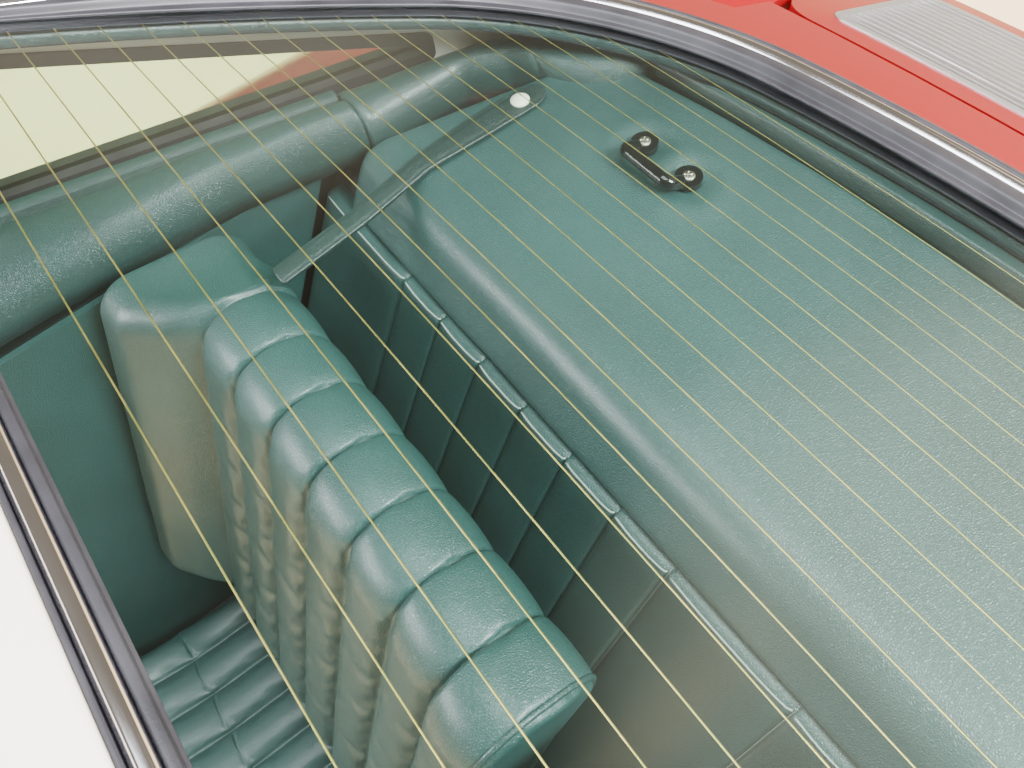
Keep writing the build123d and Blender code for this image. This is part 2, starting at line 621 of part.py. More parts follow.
def build_shelf_pad():
    base_z = LEDGE_Z + FIT
    plan = extrude(Plane.XY.offset(base_z) * shelf_outline(), SHELF_Z - base_z)
    plan &= box(-REACH, REACH, SHELF_JOIN_Y, REACH, 0, REACH)
    front_half = SHELF_FRONT_HALF
    ridge = bulkhead_y(SHELF_Z, FLAP_THICK)
    profile = make_face(Polyline(
        (SHELF_JOIN_Y, SHELF_Z),
        (ridge, SHELF_Z),
        (bulkhead_y(FLAP_END_Z, FLAP_THICK), FLAP_END_Z),
        (bulkhead_y(FLAP_END_Z, FIT), FLAP_END_Z),
        (bulkhead_y(base_z, FIT), base_z),
        (SHELF_JOIN_Y, base_z),
        close=True,
    ))
    ridge_corner = [v for v in profile.vertices() if abs(v.X - ridge) < 0.01 and abs(v.Y - SHELF_Z) < 0.01]
    profile = fillet(ridge_corner, RIDGE_R)
    front = extrude(Plane.YZ.offset(-front_half) * profile, 2 * front_half)
    taper = (SHELF_FRONT_HALF - SHELF_REAR_HALF) / SHELF_SIDE_REAR_Y
    edge_x = SHELF_FRONT_HALF - taper * SHELF_JOIN_Y
    front &= xy_prism(
        Polyline((-front_half, -REACH), (front_half, -REACH), (front_half, 0), (edge_x, SHELF_JOIN_Y),
                 (-edge_x, SHELF_JOIN_Y), (-front_half, 0), close=True), 0, REACH)
    nodes["shelf_pad"] = plan + front


def build_shelf_roll():
    """Stuffed roll between the shelf and the window, on three sides."""
    start = SHELF_FRONT_HALF + ROLL_SIDE_GAP
    right = [
        (-start, ROLL_JOINT_Y),
        (sill_x(ROLL_JOINT_Y) + ROLL_RIM, ROLL_JOINT_Y),
        (sill_x(ROLL_BEND_Y) + ROLL_RIM, ROLL_BEND_Y),
        (-ROLL_REAR_HALF, ROLL_REAR_Y),
    ]
    left = [(-x, y) for x, y in reversed(right)]
    shelf = shelf_outline()
    face = make_face(Polyline(*right, *left, close=True)) - offset(shelf, FIT)
    gap_end = (-SHELF_REAR_HALF, ROLL_JOINT_Y)
    for flip in (1, -1):
        gap = [(flip * (inset - SEAT_HALF_WIDTH), y) for inset, y in SIDE_GAP]
        face -= make_face(Polyline(*gap, (flip * gap_end[0], gap_end[1]), close=True))
    solid = extrude(Plane.XY.offset(LEDGE_Z + FIT) * face, ROLL_TOP_Z - LEDGE_Z - FIT)
    outer_edges = []
    for edge in solid.faces().sort_by(Axis.Z)[-1].edges():
        middle = edge.center()
        off_shelf = shelf.distance_to(Vertex(middle.X, middle.Y, 0))
        if off_shelf > ROLL_RIM / 2 and middle.Y > ROLL_JOINT_Y + 1:
            edge_inside = any(abs(middle.Y - (a[1] + b[1]) / 2) < 1 for a, b in zip(SIDE_GAP, SIDE_GAP[1:]))
            if not edge_inside:
                outer_edges.append(edge)
    solid = chamfer(outer_edges, ROLL_EDGE)
    nodes["shelf_roll"] = cut_under_window(solid)


def build_sill_roll(side, name):
    end_y = ROLL_JOINT_Y - FIT
    start_y = FRONT_Y + ROLL_START
    outer = [
        (sill_x(end_y) + ROLL_RIM, end_y),
        (sill_x(SILL_BREAK_Y) + ROLL_RIM, SILL_BREAK_Y),
        (sill_x(SILL_BREAK_Y) + ROLL_RIM, start_y),
    ]
    inner = [(inset - SEAT_HALF_WIDTH, y) for inset, y in SIDE_ROLL_EDGE]
    inner.append((-SHELF_FRONT_HALF - ROLL_SIDE_GAP, end_y))
    roll = xy_prism(Polyline(*inner, *outer, close=True), LEDGE_Z + FIT, ROLL_TOP_Z)
    top_edges = [
        edge for edge in roll.faces().sort_by(Axis.Z)[-1].edges()
        if abs(edge.center().Y - end_y) > 1 and abs(edge.center().Y - start_y) > 1
    ]
    roll = fillet(top_edges, ROLL_ROUND)
    near = [(x + BAND_WIDTH, y) for x, y in outer]
    far = [(x + BAND_GROOVE, y) for x, y in reversed(near)]
    groove = xy_prism(Polyline(*near, *far, close=True), ROLL_TOP_Z - BAND_GROOVE_DEPTH, REACH)
    nodes[f"sill_roll_{name}"] = mirrored(side, roll - groove)


def build_side_trim(side, name):
    low_z = SEAT_PAN_Z + SEAT_PAN_DEPTH + FIT
    high_z = LEDGE_Z - SIDE_TRIM_GAP
    front_y = FRONT_Y + ROLL_START
    foot_y = bulkhead_y(BULKHEAD_KNEE_Z, LINING_THICK) - SIDE_TRIM_GAP
    outline = Polyline(
        (front_y, low_z),
        (front_y, high_z),
        (bulkhead_y(high_z, LINING_THICK) - SIDE_TRIM_GAP, high_z),
        (foot_y, BULKHEAD_KNEE_Z),
        (foot_y, low_z),
        close=True,
    )
    low_x = FIT - SEAT_HALF_WIDTH
    nodes[f"side_trim_{name}"] = mirrored(side, yz_prism(outline, low_x, low_x + SIDE_TRIM_THICK))


def build_lining():
    """Pleats run up the reclined bulkhead; the centre and the ends are plain."""
    def slab(x_low, x_high, round_edges):
        outline = Polyline(
            (bulkhead_y(LINING_BOTTOM_Z, FIT), LINING_BOTTOM_Z),
            (bulkhead_y(LINING_BOTTOM_Z, LINING_THICK), LINING_BOTTOM_Z),
            (bulkhead_y(LINING_TOP_Z, LINING_THICK), LINING_TOP_Z),
            (bulkhead_y(LINING_TOP_Z, FIT), LINING_TOP_Z),
            close=True,
        )
        piece = yz_prism(outline, x_low, x_high)
        if round_edges:
            front = piece.faces().sort_by(Axis.Y)[0]
            long_edges = [edge for edge in front.edges() if abs(edge.tangent_at(0.5).X) < 0.1]
            piece = chamfer(long_edges, PLEAT_ROUND)
        return piece

    ends = LINING_CENTRE_HALF + PLEATS * LINING_PLEAT
    lining = slab(-LINING_CENTRE_HALF, LINING_CENTRE_HALF, True)
    for flip in (-1, 1):
        for index in range(PLEATS):
            a = flip * (LINING_CENTRE_HALF + index * LINING_PLEAT)
            b = flip * (LINING_CENTRE_HALF + (index + 1) * LINING_PLEAT)
            lining += slab(min(a, b), max(a, b), True)
        a = flip * ends
        b = flip * LINING_HALF
        lining += slab(min(a, b), max(a, b), True)
    nodes["bulkhead_lining"] = lining


BACKREST = Plane(
    origin=(0, HINGE_Y, HINGE_Z),
    x_dir=(0, math.sin(math.radians(BACKREST_RECLINE)), math.cos(math.radians(BACKREST_RECLINE))),
    z_dir=(1, 0, 0),
)


W_SIGN = 1 if BACKREST.y_dir.Y < 0 else -1
ROLL_FRONT_W = BOARD_BACK_W + 2 * ROLL_R
ROLL_TOP_U = ROLL_CENTRE_U + ROLL_R


def pad_section(front_w, back_top_u, front_top_u, bottom_u, radii, inset=0.0):
    """Side view of the padding: flat front, rolled top that wraps over the board."""
    board_front = BOARD_BACK_W + BOARD_THICK + FIT
    board_top = BOARD_TOP_U + FIT
    points = [
        (bottom_u + inset, board_front),
        (board_top, board_front),
        (board_top, BOARD_BACK_W),
        (back_top_u - inset, BOARD_BACK_W),
        (front_top_u - inset, front_w - inset),
        (bottom_u + inset, front_w - inset),
    ]
    # BACKREST's local y may point back, so w changes sign with it
    corners = [(u, W_SIGN * w) for u, w in points]
    face = make_face(Polyline(*corners, close=True))
    for corner, radius in zip(corners[3:], radii):
        near = [v for v in face.vertices() if math.dist((v.X, v.Y), corner) < 0.01]
        face = fillet(near, radius - inset)
    return face


def pad_slab(reach, x_low, x_high, rounding):
    """One rib of the padding, or the bolster next to the tunnel."""
    radius = ROLL_R - ROLL_PLAY
    face = pad_section(
        ROLL_FRONT_W + reach, ROLL_TOP_U, ROLL_TOP_U, PAD_BOTTOM_U, (radius, radius, PAD_BOTTOM_R))
    slab = extrude(BACKREST.offset(x_low) * face, x_high - x_low)
    edges = []
    for end in (slab.faces().sort_by(Axis.X)[0], slab.faces().sort_by(Axis.X)[-1]):
        for edge in end.edges():
            centre = BACKREST.to_local_coords(edge.center())
            if centre.Y * W_SIGN > BOARD_BACK_W + BOARD_THICK + 2 or centre.X > BOARD_TOP_U + 2:
                edges.append(edge)
    return chamfer(edges, rounding)


def build_backrest(side, name):
    outer = -BACKREST_OUTER_X
    inner = -BACKREST_INNER_X
    ribs_start = outer + OUTER_BOLSTER_WIDTH
    ribs_end = inner - INNER_BOLSTER_WIDTH
    pitch = (ribs_end - ribs_start) / PLEATS
    pad = pad_slab(INNER_BOLSTER_REACH, ribs_end, inner, INNER_BOLSTER_ROUND)
    for index in range(PLEATS):
        low = ribs_start + index * pitch
        pad += pad_slab(0, low, low + pitch, RIB_ROUND)
    radii = (OUTER_BOLSTER_BACK_R, OUTER_BOLSTER_TOP_R, PAD_BOTTOM_R)
    back_top_u = ROLL_TOP_U + OUTER_BOLSTER_RISE
    stations = []
    for share, reach, drop, inset in OUTER_BOLSTER:
        section = pad_section(
            ROLL_FRONT_W + reach, back_top_u, back_top_u - drop, PAD_BOTTOM_U, radii, inset)
        stations.append(BACKREST.offset(outer + share * OUTER_BOLSTER_WIDTH) * section)
    pad += loft(stations, ruled=True)
    nodes[f"backrest_pad_{name}"] = mirrored(side, pad)

    board_high = BOARD_BACK_W + BOARD_THICK
    board_face = make_face(Polyline(
        (BOARD_LOW_U, W_SIGN * BOARD_BACK_W), (BOARD_TOP_U, W_SIGN * BOARD_BACK_W),
        (BOARD_TOP_U, W_SIGN * board_high), (BOARD_LOW_U, W_SIGN * board_high), close=True))
    width = inner - outer - 2 * BOARD_MARGIN
    board = extrude(BACKREST.offset(outer + BOARD_MARGIN) * board_face, width)
    tube = extrude(BACKREST.offset(outer + BOARD_MARGIN) * Circle(TUBE_R), width)
    bore = extrude(BACKREST.offset(outer) * Circle(ROD_R + RUNNING), inner - outer)
    nodes[f"backrest_board_{name}"] = mirrored(side, board + tube - bore)

    brackets = {
        "outer": (outer + BOARD_MARGIN - BRACKET_GAP_OUTER - BRACKET_THICK, SEAT_PAN_Z + SEAT_PAN_DEPTH),
        "inner": (inner + BRACKET_GAP_INNER, TUNNEL_TOP_Z),
    }
    for place, (x_low, foot_z) in brackets.items():
        plate = make_face(Polyline(
            (HINGE_Y - BRACKET_HALF_WIDTH, foot_z),
            (HINGE_Y + BRACKET_HALF_WIDTH, foot_z),
            (HINGE_Y + BRACKET_EYE, HINGE_Z + BRACKET_EYE),
            (HINGE_Y - BRACKET_EYE, HINGE_Z + BRACKET_EYE),
            close=True))
        plate = fillet([v for v in plate.vertices() if v.Y > HINGE_Z], BRACKET_ROUND)
        plate -= Pos(HINGE_Y, HINGE_Z) * Circle(ROD_R + RUNNING)
        bracket = extrude(Plane.YZ.offset(x_low) * plate, BRACKET_THICK)
        nodes[f"hinge_bracket_{place}_{name}"] = mirrored(side, bracket)
    rod_low = brackets["outer"][0] - ROD_STANDOUT
    rod_high = brackets["inner"][0] + BRACKET_THICK + ROD_STANDOUT
    rod = extrude(BACKREST.offset(rod_low) * Circle(ROD_R), rod_high - rod_low)
    nodes[f"hinge_rod_{name}"] = mirrored(side, rod)


def build_strap(side, name):
    """Flat strap on the shelf: its rear end is snapped down, its front end reaches free."""
    low_z = SHELF_Z + STRAP_LIFT
    outer = [(inset - SHELF_FRONT_HALF, y) for inset, _, y in STRAP_EDGES]
    inner = [(inset - SHELF_FRONT_HALF, y) for _, inset, y in STRAP_EDGES]
    tip = (STRAP_TIP[0] - SHELF_FRONT_HALF, STRAP_TIP[1])
    curves = [
        Polyline(*outer),
        ThreePointArc(outer[-1], tip, inner[-1]),
        Polyline(*reversed(inner)),
        Line(inner[0], outer[0]),
    ]
    strap = xy_prism(curves, low_z, low_z + STRAP_THICK)
    strap -= Pos(-SNAP_X, SNAP_Y, low_z) * Cylinder(SNAP_HOLE_R, 4 * STRAP_THICK)
    nodes[f"hold_strap_{name}"] = mirrored(side, strap)

    low = (Align.CENTER, Align.CENTER, Align.MIN)
    dome = CAP_HEIGHT - CAP_RIM
    dome_r = (CAP_R**2 + dome**2) / (2 * dome)
    cap = Cylinder(CAP_R, CAP_HEIGHT, align=low)
    cap &= Pos(0, 0, CAP_HEIGHT - dome_r) * Sphere(dome_r)
    cap = Pos(-SNAP_X, SNAP_Y, low_z + STRAP_THICK + CAP_SEAT) * cap
    nodes[f"snap_cap_{name}"] = mirrored(side, cap)

    stud = Pos(-SNAP_X, SNAP_Y, SHELF_Z) * Cylinder(STUD_BASE_R, STUD_BASE_THICK, align=low)
    stud += Pos(-SNAP_X, SNAP_Y, SHELF_Z) * Cylinder(STUD_R, STUD_HEIGHT, align=low)
    nodes[f"snap_stud_{name}"] = mirrored(side, stud)


def build_loop(side, name):
    tab_z = SHELF_Z + LOOP_TAB_THICK / 2
    start_z = SHELF_Z + LOOP_BAR_R
    screws = (-LOOP_SCREW_OUTER_X, -LOOP_SCREW_INNER_X)
    path = FilletPolyline(
        (screws[0], LOOP_SCREW_Y - LOOP_ROOT, start_z),
        (screws[0], LOOP_BAR_Y, LOOP_BAR_Z),
        (screws[1], LOOP_BAR_Y, LOOP_BAR_Z),
        (screws[1], LOOP_SCREW_Y - LOOP_ROOT, start_z),
        radius=LOOP_BEND_R,
    )
    start = Plane(origin=path @ 0, z_dir=path % 0)
    loop = sweep(start * Circle(LOOP_BAR_R), path=path)
    for x in screws:
        loop += Pos(x, LOOP_SCREW_Y, tab_z) * Cylinder(LOOP_TAB_R, LOOP_TAB_THICK)
    loop &= box(-REACH, 0, -REACH, REACH, SHELF_Z, REACH)
    for x in screws:
        loop -= Pos(x, LOOP_SCREW_Y, tab_z) * Cylinder(LOOP_HOLE_R, 4 * LOOP_TAB_THICK)
    nodes[f"lashing_loop_{name}"] = mirrored(side, loop)


def cushion_section(inset):
    """Side view of the cushion: dished at the back, crowned above the knees."""
    floor_z = SEAT_PAN_Z + FIT
    rear = CUSHION_REAR_Y - inset
    front = CUSHION_FRONT_Y + inset
    return make_face(Polyline(
        (rear, floor_z),
        (rear, CUSHION_REAR_Z - inset),
        (CUSHION_MID_Y, CUSHION_MID_Z - inset),
        (CUSHION_CREST_Y, CUSHION_CREST_Z - inset),
        (front + CUSHION_NOSE_BACK, CUSHION_CREST_Z - CUSHION_NOSE_DROP - inset),
        (front, CUSHION_NOSE_Z - inset),
        (front, floor_z),
        close=True,
    ))


def build_cushion(side, name):
    stations = [
        (-CUSHION_OUTER_X, CUSHION_ROUND),
        (-CUSHION_OUTER_X + CUSHION_ROUND, 0),
        (-CUSHION_INNER_X - CUSHION_ROUND, 0),
        (-CUSHION_INNER_X, CUSHION_ROUND),
    ]
    sections = [Plane.YZ.offset(x) * cushion_section(inset) for x, inset in stations]
    nodes[f"seat_cushion_{name}"] = mirrored(side, loft(sections, ruled=True))


build_window()
build_window_frame()
build_rear_deck()
build_floor()
build_bulkhead()
build_shelf_pad()
build_shelf_roll()
build_lining()
for side, name in SIDES:
    build_side_shell(side, name)
    build_greenhouse_side(side, name)
    build_sill_roll(side, name)
    build_side_trim(side, name)
    build_backrest(side, name)
    build_strap(side, name)
    build_loop(side, name)
    build_cushion(side, name)

os.makedirs("parts", exist_ok=True)
for name, shape in nodes.items():
    export_step(shape, f"parts/{name}.step")
    bounds = shape.bounding_box()
    print(name, len(shape.solids()), round(shape.volume), bounds.min, bounds.max)
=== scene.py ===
import math

import bmesh
import bpy
import numpy as np
from mathutils import Matrix, Vector


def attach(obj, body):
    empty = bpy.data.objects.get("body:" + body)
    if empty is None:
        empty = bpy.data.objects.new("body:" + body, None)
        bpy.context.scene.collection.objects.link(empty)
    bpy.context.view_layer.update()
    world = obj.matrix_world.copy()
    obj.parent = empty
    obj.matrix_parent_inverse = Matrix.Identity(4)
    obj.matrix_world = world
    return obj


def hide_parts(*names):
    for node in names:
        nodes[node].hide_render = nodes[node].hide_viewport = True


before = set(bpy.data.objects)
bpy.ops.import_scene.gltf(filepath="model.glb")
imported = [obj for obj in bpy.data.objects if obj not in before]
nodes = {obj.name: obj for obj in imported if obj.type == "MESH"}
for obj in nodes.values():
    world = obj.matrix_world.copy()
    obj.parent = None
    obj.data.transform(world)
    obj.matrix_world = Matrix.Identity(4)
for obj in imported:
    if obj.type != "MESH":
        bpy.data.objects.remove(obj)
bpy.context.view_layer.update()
scene = bpy.context.scene
SIDES = ((-1, "right"), (1, "left"))
MM = 0.001


# Studio: a pale floor, a key lamp over the car's left, a wide one overhead, one in front that
# lights the cabin, and two over the ground. The surroundings are dim, with two soft bright
# patches: one behind the car, whose sheen lies over the rear of the glass, and one at its right.
CAMERA_PLACE = (0.032, -0.140, 1.080)
CAMERA_FORWARD = Vector((-0.445, 0.202, -0.878)).normalized()
CAMERA_RIGHT = Vector((0.607, 0.788, -0.117))
LENS_MM = 28.125
NEAR_CLIP = 0.02
FLOOR_HALF = 6
FLOOR_COLOUR = "#efd6ac"
WORLD_COLOUR = "#fff0d6"
WORLD_DIM = 0.3
# Columns: toward, share of a full turn's cosine where it starts and is full, strength
BRIGHT_PATCHES = (
    ((0.152, 0.911, 0.384), 0.87, 0.985, 2.0),
    ((-0.898, 0.410, 0.160), 0.94, 0.998, 0.65),
)


def linear(hex_colour):
    """An sRGB hex colour as linear red, green, blue and alpha."""
    parts = np.array([int(hex_colour[i:i + 2], 16) for i in (1, 3, 5)]) / 255
    low = parts / 12.92
    high = ((parts + 0.055) / 1.055) ** 2.4
    return (*np.where(parts <= 0.04045, low, high), 1.0)


def add_node(tree, kind, settings=None, values=None, links=None):
    """Adds a shader node: its settings, the values of its sockets, and what is linked to them."""
    node = tree.nodes.new(kind)
    for key, value in (settings or {}).items():
        setattr(node, key, value)
    for key, value in (values or {}).items():
        node.inputs[key].default_value = value
    for key, (source, output) in (links or {}).items():
        tree.links.new(source.outputs[output], node.inputs[key])
    return node


def noise(tree, place, scale, detail):
    """Cloudy noise over a piece's own coordinates."""
    return add_node(tree, "ShaderNodeTexNoise", values={"Scale": scale, "Detail": detail},
                    links={"Vector": (place, "Object")})


def two_tone(tree, first, second, share):
    """One sRGB colour that turns into a second by the share from a node's output."""
    return add_node(tree, "ShaderNodeMix", {"data_type": "RGBA"},
                    {6: linear(first), 7: linear(second)}, {0: share})


def ramp(tree, low, high, source):
    """Turns 0 to 1 from a node's output into low to high."""
    return add_node(tree, "ShaderNodeMapRange", values={3: low, 4: high}, links={0: source})


def new_material(name):
    """An empty node material and its output node."""
    material = bpy.data.materials.new(name)
    material.use_nodes = True
    tree = material.node_tree
    tree.nodes.clear()
    return material, tree


def finished(material, values=None, links=None, kind="ShaderNodeBsdfPrincipled"):
    """Closes a material with its surface shader, which is the general one by default."""
    tree = material.node_tree
    shader = add_node(tree, kind, values=values, links=links)
    output = add_node(tree, "ShaderNodeOutputMaterial")
    tree.links.new(shader.outputs[0], output.inputs[0])
    return material


def lamp(name, place, aim, size, watts, colour, sharp=True):
    """A soft square lamp at a place, turned to the point it lights. It isn't mirrored unless it
    is sharp."""
    data = bpy.data.lights.new(name, "AREA")
    data.shape = "RECTANGLE"
    data.size, data.size_y = size
    data.energy = watts
    data.color = linear(colour)[:3]
    light = bpy.data.objects.new(name, data)
    light.location = place
    light.rotation_euler = (Vector(aim) - Vector(place)).to_track_quat("-Z", "Y").to_euler()
    light.visible_glossy = sharp
    scene.collection.objects.link(light)


right = (CAMERA_RIGHT - CAMERA_FORWARD * CAMERA_RIGHT.dot(CAMERA_FORWARD)).normalized()
up = right.cross(CAMERA_FORWARD)
camera_data = bpy.data.cameras.new("camera")
camera_data.lens = LENS_MM
camera_data.clip_start = NEAR_CLIP
camera = bpy.data.objects.new("camera", camera_data)
turn = Matrix((right, up, -CAMERA_FORWARD)).transposed()
camera.matrix_world = Matrix.Translation(CAMERA_PLACE) @ turn.to_4x4()
scene.collection.objects.link(camera)
scene.camera = camera

scene.world = bpy.data.worlds.new("studio")
scene.world.use_nodes = True
sky = scene.world.node_tree
backdrop = sky.nodes["Background"]
backdrop.inputs["Color"].default_value = linear(WORLD_COLOUR)
toward = add_node(sky, "ShaderNodeTexCoord")
strength = add_node(sky, "ShaderNodeValue")
strength.outputs[0].default_value = WORLD_DIM
for middle, start, full, height in BRIGHT_PATCHES:
    nearness = add_node(sky, "ShaderNodeVectorMath", {"operation": "DOT_PRODUCT"}, {1: middle},
                        {0: (toward, "Generated")})
    glow = add_node(sky, "ShaderNodeMapRange", {"interpolation_type": "SMOOTHSTEP"},
                    {1: start, 2: full, 4: height}, {0: (nearness, "Value")})
    strength = add_node(sky, "ShaderNodeMath", {"operation": "ADD"}, links={0: (strength, 0), 1: (glow, 0)})
sky.links.new(strength.outputs[0], backdrop.inputs["Strength"])
lamp("key", (1.7, 0.9, 2.6), (-0.2, 0.0, 0.6), (1.2, 1.2), 430, "#fbfbff")
lamp("overhead", (0.0, -0.1, 3.6), (0.0, 0.1, 0.6), (2.0, 2.0), 170, "#f4faff")
lamp("front", (-1.3, -2.3, 1.75), (-0.2, -0.2, 0.6), (1.4, 0.8), 115, "#fbfdff")
lamp("right side", (-2.1, -0.1, 1.5), (-2.1, 0.0, 0.0), (1.3, 1.3), 90, "#fffdf6", False)
lamp("ground", (-0.6, 2.6, 2.0), (-0.6, 1.7, 0.0), (1.5, 1.5), 130, "#fff6e6", False)

floor_mesh = bpy.data.meshes.new("floor")
corners = [(FLOOR_HALF * x, FLOOR_HALF * y, 0) for x, y in ((-1, -1), (1, -1), (1, 1), (-1, 1))]
floor_mesh.from_pydata(corners, [], [(0, 1, 2, 3)])
floor = bpy.data.objects.new("floor", floor_mesh)
scene.collection.objects.link(floor)
paving, tree = new_material("pale concrete")
cloud = noise(tree, add_node(tree, "ShaderNodeTexCoord"), 3, 3)
tone = two_tone(tree, FLOOR_COLOUR, "#dfc496", (cloud, "Fac"))
floor.data.materials.append(finished(paving, {"Roughness": 0.85}, {"Base Color": (tone, 2)}))


# Rear window: one pane of toughened glass, bent across the car and tinted green, and two flat
# quarter lights of the same glass. A pane lets light straight through and mirrors the studio.
WINDOW_TOP = np.array((0.0, -220.0, 860.0))
WINDOW_SLOPE = math.radians(22.5)
BOW_RADIUS = 5000.0
GLASS_TINT = "#f4f9f6"
QUARTER_TINT = "#e6f6e2"
MIRROR_STRAIGHT = 0.043


def on_window(x, v, level):
    """Point of the bent window: x across, v down the slope, level out of the glass. The height
    falls by x squared over twice the bow's radius."""
    height = level - x**2 / (2 * (BOW_RADIUS + level))
    y = WINDOW_TOP[1] + v * math.cos(WINDOW_SLOPE) + height * math.sin(WINDOW_SLOPE)
    z = WINDOW_TOP[2] - v * math.sin(WINDOW_SLOPE) + height * math.cos(WINDOW_SLOPE)
    return np.stack(np.broadcast_arrays(x, y, z), axis=-1)


def pane_glass(name, tint):
    """Clear float glass, polished: nearly all of it shows what is behind, tinted, and the rest
    mirrors more at a low angle, as glass of index 1.52 does."""
    material, tree = new_material(name)
    clear = add_node(tree, "ShaderNodeBsdfTransparent", values={"Color": linear(tint)})
    mirror = add_node(tree, "ShaderNodeBsdfGlossy", values={"Roughness": 0.07})
    facing = add_node(tree, "ShaderNodeLayerWeight", values={"Blend": 0.5})
    fifth = add_node(tree, "ShaderNodeMath", {"operation": "POWER"}, {1: 5.0}, {0: (facing, "Facing")})
    share = ramp(tree, MIRROR_STRAIGHT, 1.0, (fifth, 0))
    return finished(material, None, {0: (share, 0), 1: (clear, 0), 2: (mirror, 0)}, "ShaderNodeMixShader")


def finish_node(name, material):
    """A CAD piece keeps its shape and gets its material."""
    nodes[name].data.materials.clear()
    nodes[name].data.materials.append(material)


finish_node("rear_window_glass", pane_glass("green tinted glass", GLASS_TINT))
quarter_glass = pane_glass("green quarter glass", QUARTER_TINT)
for _, side in SIDES:
    finish_node(f"quarter_glass_{side}", quarter_glass)


# Edge of the clear glass: a bowed cowl edge, wide round corners, sides that spread to the
# roof, and a small round in each roof corner. The rubber, the bright trim and the heater
# filaments all follow it.
COWL_MIDDLE = (0.0, 515.0)
COWL_END = (-235.0, 500.0)
CORNER_MIDDLE = (-370.0, 441.0)
CORNER_END = (-440.0, 330.0)
SIDE_MIDDLE = (-472.0, 206.0)
ROOF_END = (-502.0, -2.0)
ROOF_CORNER_R = 70.0
EDGE_POINTS = 480


def circle_through(a, b, c):
    """Centre and radius of the circle through three points of a plane."""
    (ax, ay), (bx, by), (cx, cy) = a, b, c
    rows = np.array([[bx - ax, by - ay], [cx - ax, cy - ay]])
    half = np.array([bx**2 - ax**2 + by**2 - ay**2, cx**2 - ax**2 + cy**2 - ay**2]) / 2
    centre = np.linalg.solve(rows, half)
    return centre, math.hypot(centre[0] - ax, centre[1] - ay)


def arc(centre, radius, start, end, count):
    """Points of a circle from start to end by the short way round."""
    a = math.atan2(start[1] - centre[1], start[0] - centre[0])
    b = math.atan2(end[1] - centre[1], end[0] - centre[0])
    sweep = (b - a + math.pi) % (2 * math.pi) - math.pi
    angles = a + sweep * np.linspace(0, 1, count)
    return centre + radius * np.stack((np.cos(angles), np.sin(angles)), axis=-1)


def glass_edge(count):
    """The closed edge as evenly spaced points, with the outward direction at each."""
    cowl, cowl_r = circle_through(COWL_END, COWL_MIDDLE, (-COWL_END[0], COWL_END[1]))
    corner, corner_r = circle_through(COWL_END, CORNER_MIDDLE, CORNER_END)
    flank, flank_r = circle_through(CORNER_END, SIDE_MIDDLE, ROOF_END)
    round_v = ROOF_END[1] + ROOF_CORNER_R
    reach = flank_r - ROOF_CORNER_R
    round_x = flank[0] - math.sqrt(reach**2 - (round_v - flank[1]) ** 2)
    round_centre = np.array((round_x, round_v))
    touch = flank + (round_centre - flank) * flank_r / reach
    roof_touch = np.array((round_x, ROOF_END[1]))
    half = np.concatenate((
        arc(cowl, cowl_r, COWL_MIDDLE, COWL_END, 60),
        arc(corner, corner_r, COWL_END, CORNER_END, 60)[1:],
        arc(flank, flank_r, CORNER_END, touch, 80)[1:],
        arc(round_centre, ROOF_CORNER_R, touch, roof_touch, 30)[1:],
        np.linspace(roof_touch, (0, ROOF_END[1]), 60)[1:],
    ))
    loop = np.concatenate((half, half[-2::-1] * (-1, 1)))
    steps = np.concatenate(([0], np.cumsum(np.hypot(*np.diff(loop, axis=0).T))))
    places = np.linspace(0, steps[-1], count, endpoint=False)
    edge = np.stack([np.interp(places, steps, loop[:, i]) for i in (0, 1)], axis=-1)
    along = np.roll(edge, -1, axis=0) - np.roll(edge, 1, axis=0)
    outward = np.stack((-along[:, 1], along[:, 0]), axis=-1)
    outward *= np.sign(np.sum(outward * (edge - (0, 256)), axis=1))[:, None]
    return edge, outward / np.linalg.norm(outward, axis=1)[:, None]


def rounded_path(corners, radii, arc_steps, run_steps):
    """A closed chain of straight runs with round corners, in the last two axes of corners. Each
    corner is the exact arc between its tangent points, as a rational quadratic curve."""
    before = np.roll(corners, 1, axis=-2) - corners
    after = np.roll(corners, -1, axis=-2) - corners
    before /= np.linalg.norm(before, axis=-1, keepdims=True)
    after /= np.linalg.norm(after, axis=-1, keepdims=True)
    half_angle = np.arccos(np.clip(np.sum(before * after, axis=-1), -1, 1)) / 2
    reach = (np.asarray(radii) / np.tan(half_angle))[..., None]
    enter, leave = corners + before * reach, corners + after * reach
    pieces = []
    count = corners.shape[-2]
    for i in range(count):
        t = np.linspace(0, 1, arc_steps[i])[:, None]
        weight = np.sin(half_angle[..., i])[..., None, None]
        a, b, c = (1 - t) ** 2, 2 * t * (1 - t) * weight, t**2
        bend = a * enter[..., i, None, :] + b * corners[..., i, None, :] + c * leave[..., i, None, :]
        pieces.append(bend / (a + b + c))
        s = np.linspace(0, 1, run_steps[i] + 1)[1:-1, None]
        following = enter[..., (i + 1) % count, None, :]
        pieces.append(leave[..., i, None, :] * (1 - s) + following * s)
    return np.concatenate(pieces, axis=-2)


def quads(index):
    """Four-sided faces between the neighbours in a grid of point numbers."""
    return np.stack((index[:-1, :-1], index[1:, :-1], index[1:, 1:], index[:-1, 1:]), axis=-1).reshape(-1, 4)


def new_piece(name, points, faces):
    """A smooth closed mesh from points in millimetres: doubled points are welded, open ends are
    closed by one face, and all faces are turned outwards."""
    mesh = bpy.data.meshes.new(name)
    mesh.from_pydata((points.reshape(-1, 3) * MM).tolist(), [], faces.tolist())
    work = bmesh.new()
    work.from_mesh(mesh)
    bmesh.ops.remove_doubles(work, verts=work.verts, dist=1e-6)
    bmesh.ops.holes_fill(work, edges=work.edges)
    bmesh.ops.recalc_face_normals(work, faces=work.faces)
    work.to_mesh(mesh)
    work.free()
    mesh.shade_smooth()
    piece = bpy.data.objects.new(name, mesh)
    scene.collection.objects.link(piece)
    return piece


